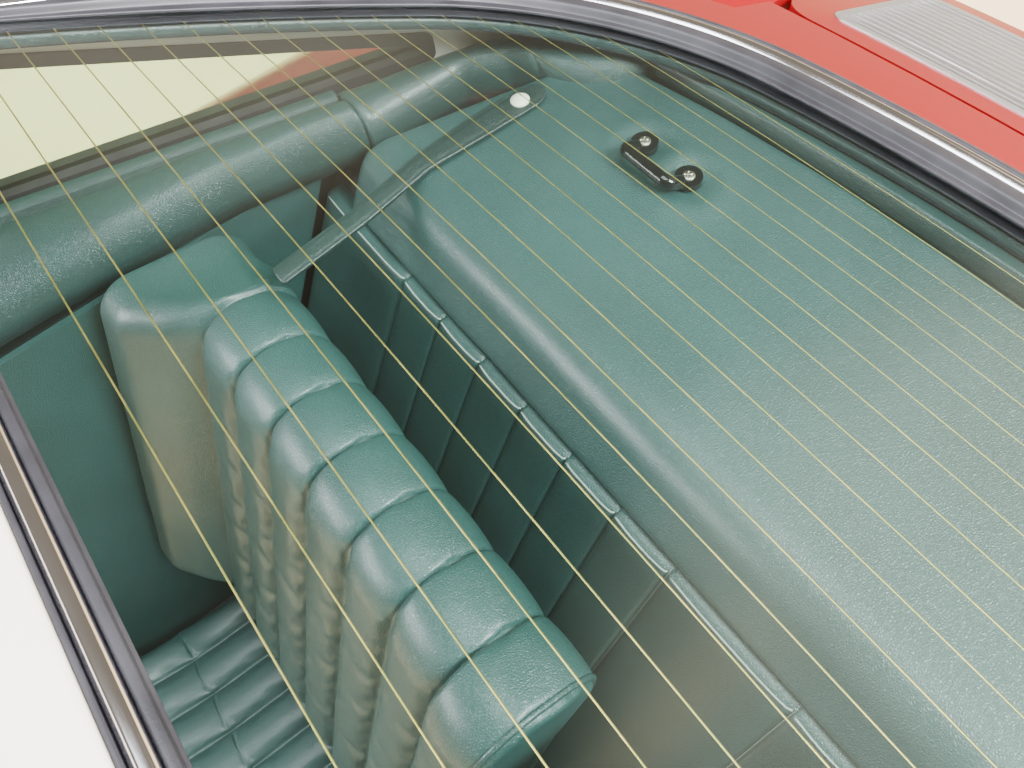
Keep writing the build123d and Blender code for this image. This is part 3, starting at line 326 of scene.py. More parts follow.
def surface(name, points, wrap_rows=False, wrap_columns=False):
    """A piece over a grid of points, which may close on itself along its rows or columns."""
    rows, columns = points.shape[:2]
    index = np.arange(rows * columns).reshape(rows, columns)
    if wrap_rows:
        index = np.vstack((index, index[:1]))
    if wrap_columns:
        index = np.hstack((index, index[:, :1]))
    return new_piece(name, points, quads(index))


def fit(piece, body, slot, material, *replaced):
    """Gives a new piece its material and body, and hides the CAD pieces it stands for. The slot is not used.
    """
    piece.data.materials.append(material)
    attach(piece, body)
    if replaced:
        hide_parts(*replaced)
    return piece


# Rubber seal of the rear window: one extruded EPDM section with an inner lip, a fat bead, a
# channel for the bright trim and an outer lip. It is stretched round the glass in one ring, and
# lies in a deep recess at the cowl, so that much less of its width shows along the roof.
ROOF_OFFSETS = ((0.0, 22.9, 37.1, 46.0), (0.0, 6.0, 13.0, 15.5))
ROOF_FLATTEN = 0.4
ROOF_V = (20.0, 200.0)
SEAL_SECTION = (
    # offset from the clear glass, level, radius
    (0.0, 0.4, 0.0),
    (0.0, 2.6, 1.0),
    (5.0, 3.6, 2.0),
    (8.0, 10.2, 3.5),
    (21.0, 10.2, 3.5),
    (22.5, 3.4, 0.5),
    (37.5, 3.4, 0.5),
    (39.0, 11.2, 2.2),
    (46.0, 11.0, 2.4),
    (46.0, -13.0, 0.5),
    (12.5, -13.0, 0.5),
    (12.5, -6.6, 0.3),
    (0.0, -6.6, 0.3),
    (0.0, -5.4, 0.3),
    (10.0, -5.4, 0.2),
    (10.0, 0.4, 0.2),
)


def roof_share(v):
    """1 along the roof, 0 along the cowl and the lower sides, with a smooth change between."""
    t = np.clip((v - ROOF_V[0]) / (ROOF_V[1] - ROOF_V[0]), 0, 1)
    return 1 - t * t * (3 - 2 * t)


def window_ring(name, section, arc_points):
    """A closed section carried round the edge of the glass, narrower along the roof."""
    table = np.array(section)
    count = len(table)
    ring = rounded_path(table[:, :2], table[:, 2], [arc_points] * count, [2] * count)
    edge, outward = glass_edge(EDGE_POINTS)
    share = roof_share(edge[:, 1:])
    offset = ring[:, 0] * (1 - share) + np.interp(ring[:, 0], *ROOF_OFFSETS) * share
    level = ring[:, 1] * (1 - ROOF_FLATTEN * share * (ring[:, 1] > 0))
    plan = edge[:, None, :] + outward[:, None, :] * offset[..., None]
    return surface(name, on_window(plan[..., 0], plan[..., 1], level), True, True)


def relief(tree, strength, depth_mm, **links):
    """Fine relief that tilts the light on a surface, from a height and the relief under it."""
    return add_node(tree, "ShaderNodeBump", values={"Strength": strength, "Distance": depth_mm * MM},
                    links=links)


def rubber(name, hex_colour):
    """Moulded EPDM: near black with a soft grey bloom, a fine pebble from the die, and low
    gloss."""
    material, tree = new_material(name)
    place = add_node(tree, "ShaderNodeTexCoord")
    bloom = noise(tree, place, 35, 3)
    tone = two_tone(tree, hex_colour, "#3b3a3f", (bloom, "Fac"))
    pebble = noise(tree, place, 1800, 0)
    bump = relief(tree, 0.25, 0.2, Height=(pebble, "Fac"))
    gloss = ramp(tree, 0.34, 0.52, (bloom, "Fac"))
    return finished(material, None, {"Base Color": (tone, 2), "Roughness": (gloss, 0), "Normal": (bump, 0)})


seal_rubber = rubber("moulded black rubber", "#17161a")
seal = window_ring("window_rubber", SEAL_SECTION, 5)
fit(seal, "cabin", "seal_rubber", seal_rubber, "rear_window_seal")
for _, side in SIDES:
    finish_node(f"quarter_seal_{side}", seal_rubber)


# Bright trim of the rear window: a rolled strip of polished stainless steel, crowned across,
# pressed into the rubber's channel.
TRIM_SECTION = (
    (22.9, 3.7, 0.4),
    (23.2, 9.0, 2.5),
    (27.0, 12.0, 5.0),
    (33.0, 12.0, 5.0),
    (36.8, 9.0, 2.5),
    (37.1, 3.7, 0.4),
)


def bright_metal(name, hex_colour, roughness, streak_scale):
    """Polished or brushed metal: full metal, with fine lines along the rolling direction that
    vary its gloss."""
    material, tree = new_material(name)
    place = add_node(tree, "ShaderNodeTexCoord")
    stretch = add_node(tree, "ShaderNodeMapping", values={"Scale": streak_scale},
                       links={"Vector": (place, "Object")})
    lines = add_node(tree, "ShaderNodeTexNoise", values={"Scale": 60, "Detail": 4},
                     links={"Vector": (stretch, 0)})
    gloss = ramp(tree, roughness * 0.7, roughness * 1.4, (lines, "Fac"))
    return finished(material, {"Base Color": linear(hex_colour), "Metallic": 1.0}, {"Roughness": (gloss, 0)})


trim = window_ring("window_bright_trim", TRIM_SECTION, 6)
stainless = bright_metal("polished stainless steel", "#e4e2e6", 0.14, (1, 1, 1))
fit(trim, "cabin", "bright_trim", stainless, "rear_window_trim")


# Window heater: fine brass-coloured filaments across the inside of the glass, 24.5 mm apart,
# which end under the rubber's inner lip.
FILAMENT_FIRST = 29.0
FILAMENT_PITCH = 24.5
FILAMENTS = 19
FILAMENT_WIDTH = 0.8
FILAMENT_THICK = 0.2
INNER_FACE = -5.05


def half_width(v):
    """Half width of the clear glass at a place down the slope."""
    edge, _ = glass_edge(1200)
    flank = edge[edge[:, 0] < -200]
    order = np.argsort(flank[:, 1])
    return np.interp(v, flank[order, 1], -flank[order, 0])


def filament_grid():
    """All filaments as rows of four points round a flat section, one after the other."""
    v = FILAMENT_FIRST + FILAMENT_PITCH * np.arange(FILAMENTS)
    half = half_width(v)
    across = np.linspace(-1, 1, 60)
    x = half[:, None] * across
    corners = np.array(((-0.5, 0), (0.5, 0), (0.5, -1), (-0.5, -1)))
    down = v[:, None, None] + corners[:, 0] * FILAMENT_WIDTH + 0 * x[..., None]
    level = INNER_FACE + corners[:, 1] * FILAMENT_THICK
    return on_window(x[..., None] + 0 * down, down, level)


def joined(name, grids, **options):
    """Several grids as one piece."""
    parts = [surface(name, grid, **options) for grid in grids]
    work = bmesh.new()
    for part in parts:
        work.from_mesh(part.data)
    mesh = parts[0].data
    work.to_mesh(mesh)
    work.free()
    mesh.shade_smooth()
    for part in parts[1:]:
        bpy.data.objects.remove(part)
    return parts[0]


brass = bright_metal("heater brass", "#d2c878", 0.45, (1, 1, 1))
filaments = joined("heater_filaments", filament_grid(), wrap_columns=True)
fit(filaments, "cabin", "bright_trim", brass)


# Painted body: pressed steel in red enamel under clear lacquer. The roof's edge is painted ivory,
# a painted highlight for the sky's glare on the red enamel.
# Inside the cabin the side shells are covered in black card.
RED = "#8c0310"
# Ivory: the real colour inside the side frames, and on the roof's edge a painted highlight for the sky's
# glare on red enamel.
IVORY_AND_GLARE = "#f3ecdf"
BLACK_CARD = "#101312"
ROOF_LINE = -0.2
CABIN_HALF = 0.502
CABIN_REAR = 0.1
FACING_IN = -0.15
FLANGE_HALF = 0.004
FLANGE_PLACE = MM * (WINDOW_TOP[1] * math.sin(WINDOW_SLOPE) + WINDOW_TOP[2] * math.cos(WINDOW_SLOPE) - 15)


def paint_region(tree, place, region):
    """1 where another colour lies: the roof's edge, where the glare is painted, the flange under
    the rear window, the cabin's inner side, or the inner face of a side frame, where it faces the
    middle plane."""
    where = add_node(tree, "ShaderNodeSeparateXYZ", links={0: (place, "Object")})
    if region == "roof":
        return add_node(tree, "ShaderNodeMath", {"operation": "LESS_THAN"}, {1: ROOF_LINE}, {0: (where, "Y")})
    if region == "flange":
        flat = add_node(tree, "ShaderNodeVectorMath", {"operation": "DOT_PRODUCT"},
                        {1: (0, math.sin(WINDOW_SLOPE), math.cos(WINDOW_SLOPE))}, {0: (place, "Object")})
        square = add_node(tree, "ShaderNodeMath", {"operation": "MULTIPLY"},
                          links={0: (where, "X"), 1: (where, "X")})
        level = add_node(tree, "ShaderNodeMath", {"operation": "MULTIPLY_ADD"}, {1: 500 / BOW_RADIUS},
                         {0: (square, 0), 2: (flat, "Value")})
        return add_node(tree, "ShaderNodeMath", {"operation": "COMPARE"}, {1: FLANGE_PLACE, 2: FLANGE_HALF},
                        {0: (level, 0)})
    if region == "inner face":
        facing = add_node(tree, "ShaderNodeSeparateXYZ", links={0: (place, "Normal")})
        product = add_node(tree, "ShaderNodeMath", {"operation": "MULTIPLY"},
                           links={0: (where, "X"), 1: (facing, "X")})
        return add_node(tree, "ShaderNodeMath", {"operation": "LESS_THAN"}, {1: FACING_IN}, {0: (product, 0)})
    half = add_node(tree, "ShaderNodeMath", {"operation": "ABSOLUTE"}, links={0: (where, "X")})
    within = add_node(tree, "ShaderNodeMath", {"operation": "LESS_THAN"}, {1: CABIN_HALF}, {0: (half, 0)})
    before = add_node(tree, "ShaderNodeMath", {"operation": "LESS_THAN"}, {1: CABIN_REAR}, {0: (where, "Y")})
    return add_node(tree, "ShaderNodeMath", {"operation": "MULTIPLY"}, links={0: (within, 0), 1: (before, 0)})


def body_paint(name, others=()):
    """Two-layer car enamel: a smooth colour coat with a faint orange peel under lacquer. Others
    lists further colours with their regions."""
    material, tree = new_material(name)
    place = add_node(tree, "ShaderNodeTexCoord")
    cloud = noise(tree, place, 9, 3)
    colour = two_tone(tree, RED, "#80030d", (cloud, "Fac"))
    for other, region in others:
        share = paint_region(tree, place, region)
        colour = add_node(tree, "ShaderNodeMix", {"data_type": "RGBA"}, {7: linear(other)},
                          {0: (share, 0), 6: (colour, 2)})
    peel = noise(tree, place, 260, 2)
    bump = relief(tree, 0.08, 0.5, Height=(peel, "Fac"))
    return finished(material, {"Roughness": 0.32, "Coat Weight": 1.0, "Coat Roughness": 0.04},
                    {"Base Color": (colour, 2), "Normal": (bump, 0)})


red_paint = body_paint("red enamel")
# The roof's edge is painted ivory: a painted highlight for the sky's glare on the red roof.
roof_paint_with_glare = body_paint("red enamel with painted roof glare", ((IVORY_AND_GLARE, "roof"), (BLACK_CARD, "flange")))
finish_node("window_frame", roof_paint_with_glare)
finish_node("rear_deck", red_paint)
shell_paint = body_paint("red enamel and black card", ((BLACK_CARD, "cabin"),))
frame_paint = body_paint("red enamel, ivory inside", ((IVORY_AND_GLARE, "inner face"),))
for _, side in SIDES:
    finish_node(f"side_shell_{side}", shell_paint)
    finish_node(f"side_frame_{side}", frame_paint)


# Roof lip: the rear edge of the roof's skin, turned in to the narrow part of the seal. Its ivory
# is a painted highlight for the sky's glare on the red enamel.
ROOF_LIP_LOW = -12.0
ROOF_LIP_HIGH = 9.0
ROOF_LIP_OUTER = 46.4


def roof_lip_grid():
    """A band from the seal's outer edge to the frame's skin, where the seal narrows."""
    edge, outward = glass_edge(EDGE_POINTS)
    share = roof_share(edge[:, 1])
    kept = share > 0.02
    edge, outward, share = edge[kept], outward[kept], share[kept, None]
    inner = ROOF_OFFSETS[1][-1] * share + ROOF_OFFSETS[0][-1] * (1 - share) + 0.1
    across = np.array((0, 0, 0, 0.03, 0.1, 0.5, 1, 1))
    offset = inner + across * (ROOF_LIP_OUTER - inner)
    level = np.array((ROOF_LIP_LOW, -2, 6.5, 8.4, ROOF_LIP_HIGH, ROOF_LIP_HIGH, ROOF_LIP_HIGH, ROOF_LIP_LOW))
    plan = edge[:, None, :] + outward[:, None, :] * offset[..., None]
    return on_window(plan[..., 0], plan[..., 1], level)


roof_lip = surface("roof_lip", roof_lip_grid(), wrap_columns=True)
fit(roof_lip, "cabin", "red_paint", roof_paint_with_glare)


# Engine air grille: a cast frame with thin slats in brushed aluminium, laid in a recess of the
# rear deck.
finish_node("engine_air_grille", bright_metal("brushed aluminium", "#e4e7ea", 0.42, (1, 30, 30)))


# Steel under the trim: bulkhead and shelf panel in satin black, the rear wall in body colour,
# and black loop carpet on the floor. Hinges and studs are zinc plated.
def satin_black(name, hex_colour, grit_mm):
    """Sprayed satin black over steel: a dusty, slightly grainy film."""
    material, tree = new_material(name)
    place = add_node(tree, "ShaderNodeTexCoord")
    dust = noise(tree, place, 14, 4)
    tone = two_tone(tree, hex_colour, "#2c2d2c", (dust, "Fac"))
    grit = noise(tree, place, 1000 / grit_mm, 3)
    bump = relief(tree, 0.5, 0.4, Height=(grit, "Fac"))
    return finished(material, {"Roughness": 0.7}, {"Base Color": (tone, 2), "Normal": (bump, 0)})


primer = satin_black("satin black primer", "#141514", 2.0)
carpet = satin_black("black loop carpet", "#101211", 3.0)
for name in ("rear_bulkhead", "shelf_panel"):
    finish_node(name, primer)
finish_node("rear_wall", red_paint)
finish_node("floor_pan", carpet)
zinc = bright_metal("zinc plated steel", "#b9b4a4", 0.35, (1, 1, 1))
board_cloth = satin_black("backboard cloth", "#16211f", 1.5)
for _, side in SIDES:
    for part in ("hinge_rod", "hinge_bracket_outer", "hinge_bracket_inner", "snap_stud"):
        finish_node(f"{part}_{side}", zinc)
    finish_node(f"backrest_board_{side}", board_cloth)


# Leatherette: green-black vinyl on cloth, embossed with a fine leather grain. Where it is
# stretched it is smoother and shines more.
TEAL = "#2a4f4e"
TEAL_DEEP = "#214341"


def leatherette(name, colour=TEAL, deep=TEAL_DEEP, grain_mm=1.7, gloss=(0.36, 0.52)):
    """Embossed vinyl: cells of grain with thin valleys, darkened as painted shade, a finer pore,
    and slow changes of tone.
    The grain is drawn a little coarser than the real 1 mm, so that it shows."""
    material, tree = new_material(name)
    place = add_node(tree, "ShaderNodeTexCoord")
    wander = noise(tree, place, 250, 0)
    shift = add_node(tree, "ShaderNodeVectorMath", {"operation": "MULTIPLY_ADD"},
                     {1: (2 * MM,) * 3}, {0: (wander, "Color"), 2: (place, "Object")})
    cells = add_node(tree, "ShaderNodeTexVoronoi", {"feature": "DISTANCE_TO_EDGE"},
                     {"Scale": 1000 / grain_mm}, {"Vector": (shift, 0)})
    valleys = add_node(tree, "ShaderNodeMapRange", values={2: 0.28}, links={0: (cells, "Distance")})
    pores = noise(tree, place, 2600, 0)
    cloud = add_node(tree, "ShaderNodeTexNoise", values={"Scale": 7, "Detail": 3, "Roughness": 0.6},
                     links={"Vector": (place, "Object")})
    drawn = add_node(tree, "ShaderNodeMapRange", values={1: 0.3, 2: 0.7}, links={0: (cloud, "Fac")})
    tone = two_tone(tree, colour, deep, (drawn, 0))
    # The grain's valleys are darkened in the colour: painted shade in its hollows.
    inverse = ramp(tree, 0.8, 0.0, (valleys, 0))
    shade = add_node(tree, "ShaderNodeMix", {"data_type": "RGBA", "blend_type": "MULTIPLY"},
                     {7: (0.72, 0.72, 0.72, 1)}, {0: (inverse, 0), 6: (tone, 2)})
    shine = ramp(tree, gloss[1], gloss[0], (valleys, 0))
    fine = relief(tree, 0.4, 0.12, Height=(pores, "Fac"))
    bump = relief(tree, 0.8, 0.3, Height=(valleys, 0), Normal=(fine, 0))
    return finished(material, {"IOR": 1.5, "Coat Weight": 0.6, "Coat Roughness": 0.34},
                    {"Base Color": (shade, 2), "Roughness": (shine, 0), "Normal": (bump, 0)})


teal_vinyl = leatherette("teal leatherette")
roll_vinyl = leatherette("teal roll leatherette", "#264847", "#1e3c3a")


def tube_grid(path, radius, closed=False, around=8):
    """A round bead along a chain of points, which may be closed."""
    along = np.roll(path, -1, axis=0) - np.roll(path, 1, axis=0) if closed else np.gradient(path, axis=0)
    along /= np.linalg.norm(along, axis=1, keepdims=True)
    side = np.cross(along, (0.31, 0.17, 0.93))
    side /= np.linalg.norm(side, axis=1, keepdims=True)
    top = np.cross(side, along)
    angle = np.linspace(0, 2 * math.pi, around, endpoint=False)[:, None]
    return path[:, None] + radius * (np.cos(angle) * side[:, None] + np.sin(angle) * top[:, None])


def ripple(a, b, size, seed):
    """Slow uneven waves between -1 and 1 over two lengths in millimetres: five sines whose
    directions and phases step round by the golden angle from a seed."""
    total = 0
    for i in range(5):
        angle = 2.4 * (i + 1) + seed
        along = (a * math.cos(angle) + b * math.sin(angle)) * 2 * math.pi
        total = total + np.sin(along / (size * (0.7 + 0.17 * i)) + 1.7 * i * seed)
    return total / 5


# Windlace: a padded bead of leatherette pushed up under the glass all round, which hides the
# edge of the opening.
WINDLACE_OFFSET = 6.2
WINDLACE_LEVEL = -12.2
WINDLACE_R = 5.4

edge, outward = glass_edge(EDGE_POINTS)
plan = edge + outward * WINDLACE_OFFSET
windlace_path = on_window(plan[:, 0], plan[:, 1], WINDLACE_LEVEL)
windlace = surface("window_windlace", tube_grid(windlace_path, WINDLACE_R, True, 14), True, True)
fit(windlace, "cabin", "leatherette_roll", roll_vinyl)


# Luggage shelf: leatherette over thin foam on a steel panel. It is cut to the cabin's taper,
# turned down over a round front ridge, and pulled in where the lashing loops are screwed down.
LEDGE_Z = 612.0
SHELF_Z = 640.0
SHELF_FRONT_HALF = 438.0
SHELF_REAR_HALF = 385.0
SHELF_SIDE_REAR_Y = 190.0
SHELF_REAR_Y = 233.0
SHELF_CORNER_R = 45.0
RIDGE_R = 38.0
RECLINE = math.radians(31.0)
LINING_TOP = (-36.0, 586.0)
LINING_THICK = 16.0
FLAP_THICK = 12.0
FLAP_END_Z = 588.0
SHELF_ROUND = 7.0
SHELF_REAR_RUN = 14.0
LOOP_SCREWS_X = (-283.0, -237.5)
LOOP_SCREW_Y = 154.0
DIMPLE_DEPTH = 2.6
DIMPLE_R = 16.0
SWELL_RISE = 1.5
SWELL_R = 25.0
SWELL_HALF = 9.0


def bulkhead_y(z, proud):
    """The reclined bulkhead, or a face that stands proud of it."""
    base = LINING_TOP[0] + LINING_THICK / math.cos(RECLINE)
    return base - (LINING_TOP[1] - z) * math.tan(RECLINE) - proud / math.cos(RECLINE)


def shelf_edge_half(y):
    """Half width of the shelf: straight taper, then the round rear corner."""
    taper = SHELF_FRONT_HALF - (SHELF_FRONT_HALF - SHELF_REAR_HALF) * np.clip(y, 0, None) / SHELF_SIDE_REAR_Y
    start = SHELF_SIDE_REAR_Y - SHELF_CORNER_R * 0.62
    over = np.clip((y - start) / (SHELF_CORNER_R * 0.9), 0, 1)
    return taper - SHELF_CORNER_R * 0.8 * (1 - np.sqrt(1 - over**2))


def shelf_profile(s):
    """Side view of the shelf by the length s from the ridge's tangent point, front negative:
    flat, an arc of RIDGE_R, then the flap down the bulkhead. Returns Y, Z, the normal, and the
    Y of the tangent point."""
    turn = math.pi / 2 - RECLINE
    ridge = bulkhead_y(SHELF_Z, FLAP_THICK)
    tangent_y = ridge + RIDGE_R * math.tan(turn / 2)
    arc_length = RIDGE_R * turn
    angle = np.clip(-s / RIDGE_R, 0, turn)
    beyond = np.clip(-s - arc_length, 0, None)
    y = tangent_y + np.clip(s, 0, None) - RIDGE_R * np.sin(angle) - beyond * math.cos(turn)
    z = SHELF_Z - RIDGE_R * (1 - np.cos(angle)) - beyond * math.sin(turn)
    return y, z, -np.sin(angle), np.cos(angle), tangent_y


def quarter_round(depth, radius):
    """How far a round edge falls back at each depth in from it."""
    return radius - np.sqrt(radius**2 - (radius - np.clip(depth, 0, radius)) ** 2)


def shelf_grid(columns=150, rows=90):
    """Leather over the shelf. s runs along the profile and x across; near every edge it rolls
    down by a quarter round, and the last ring drops to the panel."""
    tangent_y = shelf_profile(np.zeros(1))[4]
    flap_end = -(RIDGE_R * (math.pi / 2 - RECLINE))
    flap_end -= (shelf_profile(np.array([flap_end]))[1][0] - FLAP_END_Z) / math.cos(RECLINE)
    t = np.linspace(0, 1, rows)
    t = t - 0.12 * np.sin(2 * math.pi * t) / (2 * math.pi)
    side_end = SHELF_SIDE_REAR_Y + SHELF_REAR_RUN
    s_side = flap_end + t * (side_end - tangent_y - flap_end)
    half = shelf_edge_half(s_side + tangent_y)
    across = np.linspace(-1, 1, columns)
    across = across + 0.5 * np.sin(math.pi * across) / math.pi * 0.35
    across /= across[-1]
    bow = (SHELF_REAR_Y - side_end) * np.clip((s_side + tangent_y) / side_end, 0, 1) ** 2
    x = half[:, None] * across
    s = s_side[:, None] + bow[:, None] * (1 - np.abs(across) ** 2.2)
    near_end = np.minimum(s_side - flap_end, s_side[-1] - s_side)
    drop = quarter_round(np.minimum(half[:, None] - np.abs(x), near_end[:, None]), SHELF_ROUND)
    y, z, ny, nz, _ = shelf_profile(s)
    height = -0.8 * drop + 0.7 * ripple(x, s, 130, 1.0) - 0.5
    for flip in (-1, 1):
        for screw in LOOP_SCREWS_X:
            far = np.hypot(x - flip * screw, y - LOOP_SCREW_Y)
            height = height - DIMPLE_DEPTH * np.exp(-(far / DIMPLE_R) ** 2)
            height = height + SWELL_RISE * np.exp(-((far - SWELL_R) / SWELL_HALF) ** 2)
    y, z = y + ny * height, z + nz * height
    top = np.stack((x, y, z), axis=-1)
    depth = np.where(s > 0, SHELF_Z - LEDGE_Z - 1.0, FLAP_THICK - 1.0)
    under = np.stack((x, y - ny * depth, z - nz * depth), axis=-1)
    return top, under


def closed_sheet(name, top, under):
    """A pad from its upper and lower grids, joined round all four edges."""
    rows, columns = top.shape[:2]
    points = np.concatenate((top.reshape(-1, 3), under.reshape(-1, 3)))
    index = np.arange(rows * columns).reshape(rows, columns)
    lower = index + rows * columns
    rim = np.concatenate((index[0, :-1], index[:-1, -1], index[-1, :0:-1], index[:0:-1, 0]))
    rim_low = rim + rows * columns
    walls = np.stack((rim, np.roll(rim, -1), np.roll(rim_low, -1), rim_low), axis=-1)
    return new_piece(name, points, np.concatenate((quads(index), quads(lower)[:, ::-1], walls)))


shelf = closed_sheet("shelf_cover", *shelf_grid())
fit(shelf, "cabin", "leatherette", teal_vinyl, "shelf_pad")


# Rolls round the shelf: leatherette tubes stuffed with horsehair. One runs along each side
# under the quarter light; the third goes round the shelf and its collar overlaps their ends.
ROLL_FOOT_Z = LEDGE_Z + 0.5
ROLL_TOP_Z = 656.0
ROLL_JOINT_Y = 12.0
BAND_WIDTH = 12.0
SILL_X = 521.1
SILL_TAPER = 0.325
SILL_CLEAR = 26.0
SILL_ROLL_INNER = ((-696.0, -500.0), (-268.0, -486.0), (-100.0, -472.0), (11.7, -446.0))
TRENCH = ((12.0, -442.0), (100.0, -436.0), (135.0, -418.0), (148.0, -398.0))
UNDER_WINDOW = -17.6
GROOVE_WIDTH = 1.5
ROLL_CREASE = 0.8


def sill_x(y):
    """Outer face of the greenhouse at the ledge, on the car's right."""
    return -(SILL_X + SILL_TAPER * (ROLL_JOINT_Y - np.clip(y, -300, None)))


def under_window(points):
    """Presses points down until they lie under the window frame."""
    height = UNDER_WINDOW - points[..., 0] ** 2 / (2 * BOW_RADIUS)
    top = WINDOW_TOP[2] - (points[..., 1] - WINDOW_TOP[1]) * math.tan(WINDOW_SLOPE)
    limit = top + height / math.cos(WINDOW_SLOPE)
    points[..., 2] = np.minimum(points[..., 2], limit)
    return points


def sill_roll_grid(flip):
    """A roll along the side: a tube that fattens towards the front, then a groove and a flat
    band under the quarter light."""
    table = np.array(SILL_ROLL_INNER)
    y = np.concatenate((np.linspace(table[0, 0], 0, 140), np.linspace(2, table[-1, 0], 5)))
    inner = np.interp(y, table[:, 0], table[:, 1])
    outer = sill_x(y) + SILL_CLEAR
    groove = outer + BAND_WIDTH + GROOVE_WIDTH
    angle = np.linspace(0, math.pi, 22)
    fat = np.sign(np.cos(angle)) * np.abs(np.cos(angle)) ** 0.85
    middle, half = (inner + groove) / 2, (inner - groove) / 2
    tube_x = middle[:, None] + half[:, None] * fat
    tube_z = ROLL_FOOT_Z + (ROLL_TOP_Z - ROLL_FOOT_Z) * np.sin(angle) ** 0.55 + 0 * tube_x
    tube_z = tube_z + ROLL_CREASE * ripple(y[:, None], tube_x, 90, 2.0) * np.sin(angle)
    tube_z[:, -1] = ROLL_TOP_Z - 9
    tube_x[:, -1] = groove
    tube_z[:, -2] = np.maximum(tube_z[:, -2], ROLL_TOP_Z - 8)
    band_x = np.stack((groove - 1.0, groove - 3.0, outer + 2.0, outer, outer), axis=-1)
    band_z = np.array((-8.0, -5.5, -5.5, -7.5, ROLL_FOOT_Z - ROLL_TOP_Z)) + ROLL_TOP_Z + 0 * band_x
    x = np.concatenate((tube_x, band_x), axis=1)
    z = np.concatenate((tube_z, band_z), axis=1)
    grid = np.stack((flip * -x, y[:, None] + 0 * x, z), axis=-1)
    return under_window(grid)


for flip, side in SIDES:
    roll = surface(f"sill_roll_cover_{side}", sill_roll_grid(flip), wrap_columns=True)
    fit(roll, "cabin", "leatherette_roll", roll_vinyl, f"sill_roll_{side}")


SHELF_ROLL_JOINT_Y = 12.2
CORNER_REACH = (58.0, 62.0)
CORNER_PULL = (-436.0, 246.0)
CORNER_END = (-330.0, 258.0)
REAR_INNER_Y = 232.8
COLLAR_Y = 17.0
COLLAR_HALF = 4.5
COLLAR_RISE = 2.0


def shelf_roll_grid():
    """The roll round the shelf: rows run from its inner edge, over a round top, to its outer
    edge, and stations follow the shelf from one joint round the back to the other."""
    corner_y, corner_x = TRENCH[-1]
    side_y = np.concatenate(([SHELF_ROLL_JOINT_Y, 14, 17, 20, 21.5, 23], np.linspace(26, corner_y, 40)))
    table = np.array(TRENCH)
    side_in = np.interp(side_y, table[:, 0], table[:, 1])
    side_out = sill_x(side_y) + SILL_CLEAR
    side_in_points = np.stack((side_in, side_y), axis=-1)
    side_out_points = np.stack((side_out, side_y), axis=-1)
    corner = np.linspace(0, 1, 40)[1:, None]
    angle = np.linspace(0, 1, 39) * math.pi / 2
    round_in = np.stack((np.sin(angle), (1 - np.cos(angle)) ** 0.9), axis=-1)
    corner_in = (corner_x, corner_y) + np.array(CORNER_REACH) * round_in
    start, pull, end = np.array(((sill_x(corner_y) + SILL_CLEAR, corner_y), CORNER_PULL, CORNER_END))
    corner_out = (1 - corner) ** 2 * start + 2 * corner * (1 - corner) * pull + corner**2 * end
    rear_x = np.linspace(end[0], 0, 60)[1:]
    last = corner_in[-1]
    bow = (rear_x / last[0]) ** 2
    rear_y = REAR_INNER_Y - (REAR_INNER_Y - last[1]) * bow
    rear_in = np.stack((rear_x * last[0] / end[0], rear_y), axis=-1)
    rear_out = np.stack((rear_x, end[1] + 0 * rear_x), axis=-1)
    inner = np.concatenate((side_in_points, corner_in, rear_in))
    outer = np.concatenate((side_out_points, corner_out, rear_out))
    inner = np.concatenate((inner, inner[-2::-1] * (-1, 1)))
    outer = np.concatenate((outer, outer[-2::-1] * (-1, 1)))
    theta = np.linspace(0, math.pi, 26)
    share = (1 - np.sign(np.cos(theta)) * np.abs(np.cos(theta)) ** 0.9) / 2
    plan = inner[:, None] * (1 - share[:, None]) + outer[:, None] * share[:, None]
    collar = COLLAR_RISE * np.exp(-(((inner[:, 1] - COLLAR_Y) / COLLAR_HALF) ** 4))
    rise = (ROLL_TOP_Z - COLLAR_RISE - ROLL_FOOT_Z + collar)[:, None]
    length = np.cumsum(np.hypot(*np.diff(outer, axis=0, prepend=outer[:1]).T))
    crease = ripple(length[:, None], 40 * share[None, :], 70, 3.0)
    z = ROLL_FOOT_Z + rise * np.sin(theta) ** 0.5 + 1.1 * crease * np.sin(theta)
    grid = np.concatenate((plan, z[..., None]), axis=-1)
    return under_window(grid)


shelf_roll = surface("shelf_roll_cover", shelf_roll_grid(), wrap_columns=True)
fit(shelf_roll, "cabin", "leatherette_roll", roll_vinyl, "shelf_roll")


# Bulkhead lining: leatherette sewn in upright pleats over wadding, lapped like shingles, so
# that its top edge steps at each seam. A pale bead runs along its top edge as a painted highlight.
LINING_BOTTOM_Z = 236.0
LINING_HALF = 468.0
LINING_PLEAT = 49.3
LINING_END = 121.4
PLEATS = 6
PLEAT_LAP = 5.0


def lining_seams():
    """Places of the seams from the right end to the left end."""
    first = -LINING_HALF + LINING_END
    side = first + LINING_PLEAT * np.arange(PLEATS + 1)
    return np.concatenate(([-LINING_HALF], side, -side[::-1], [LINING_HALF]))


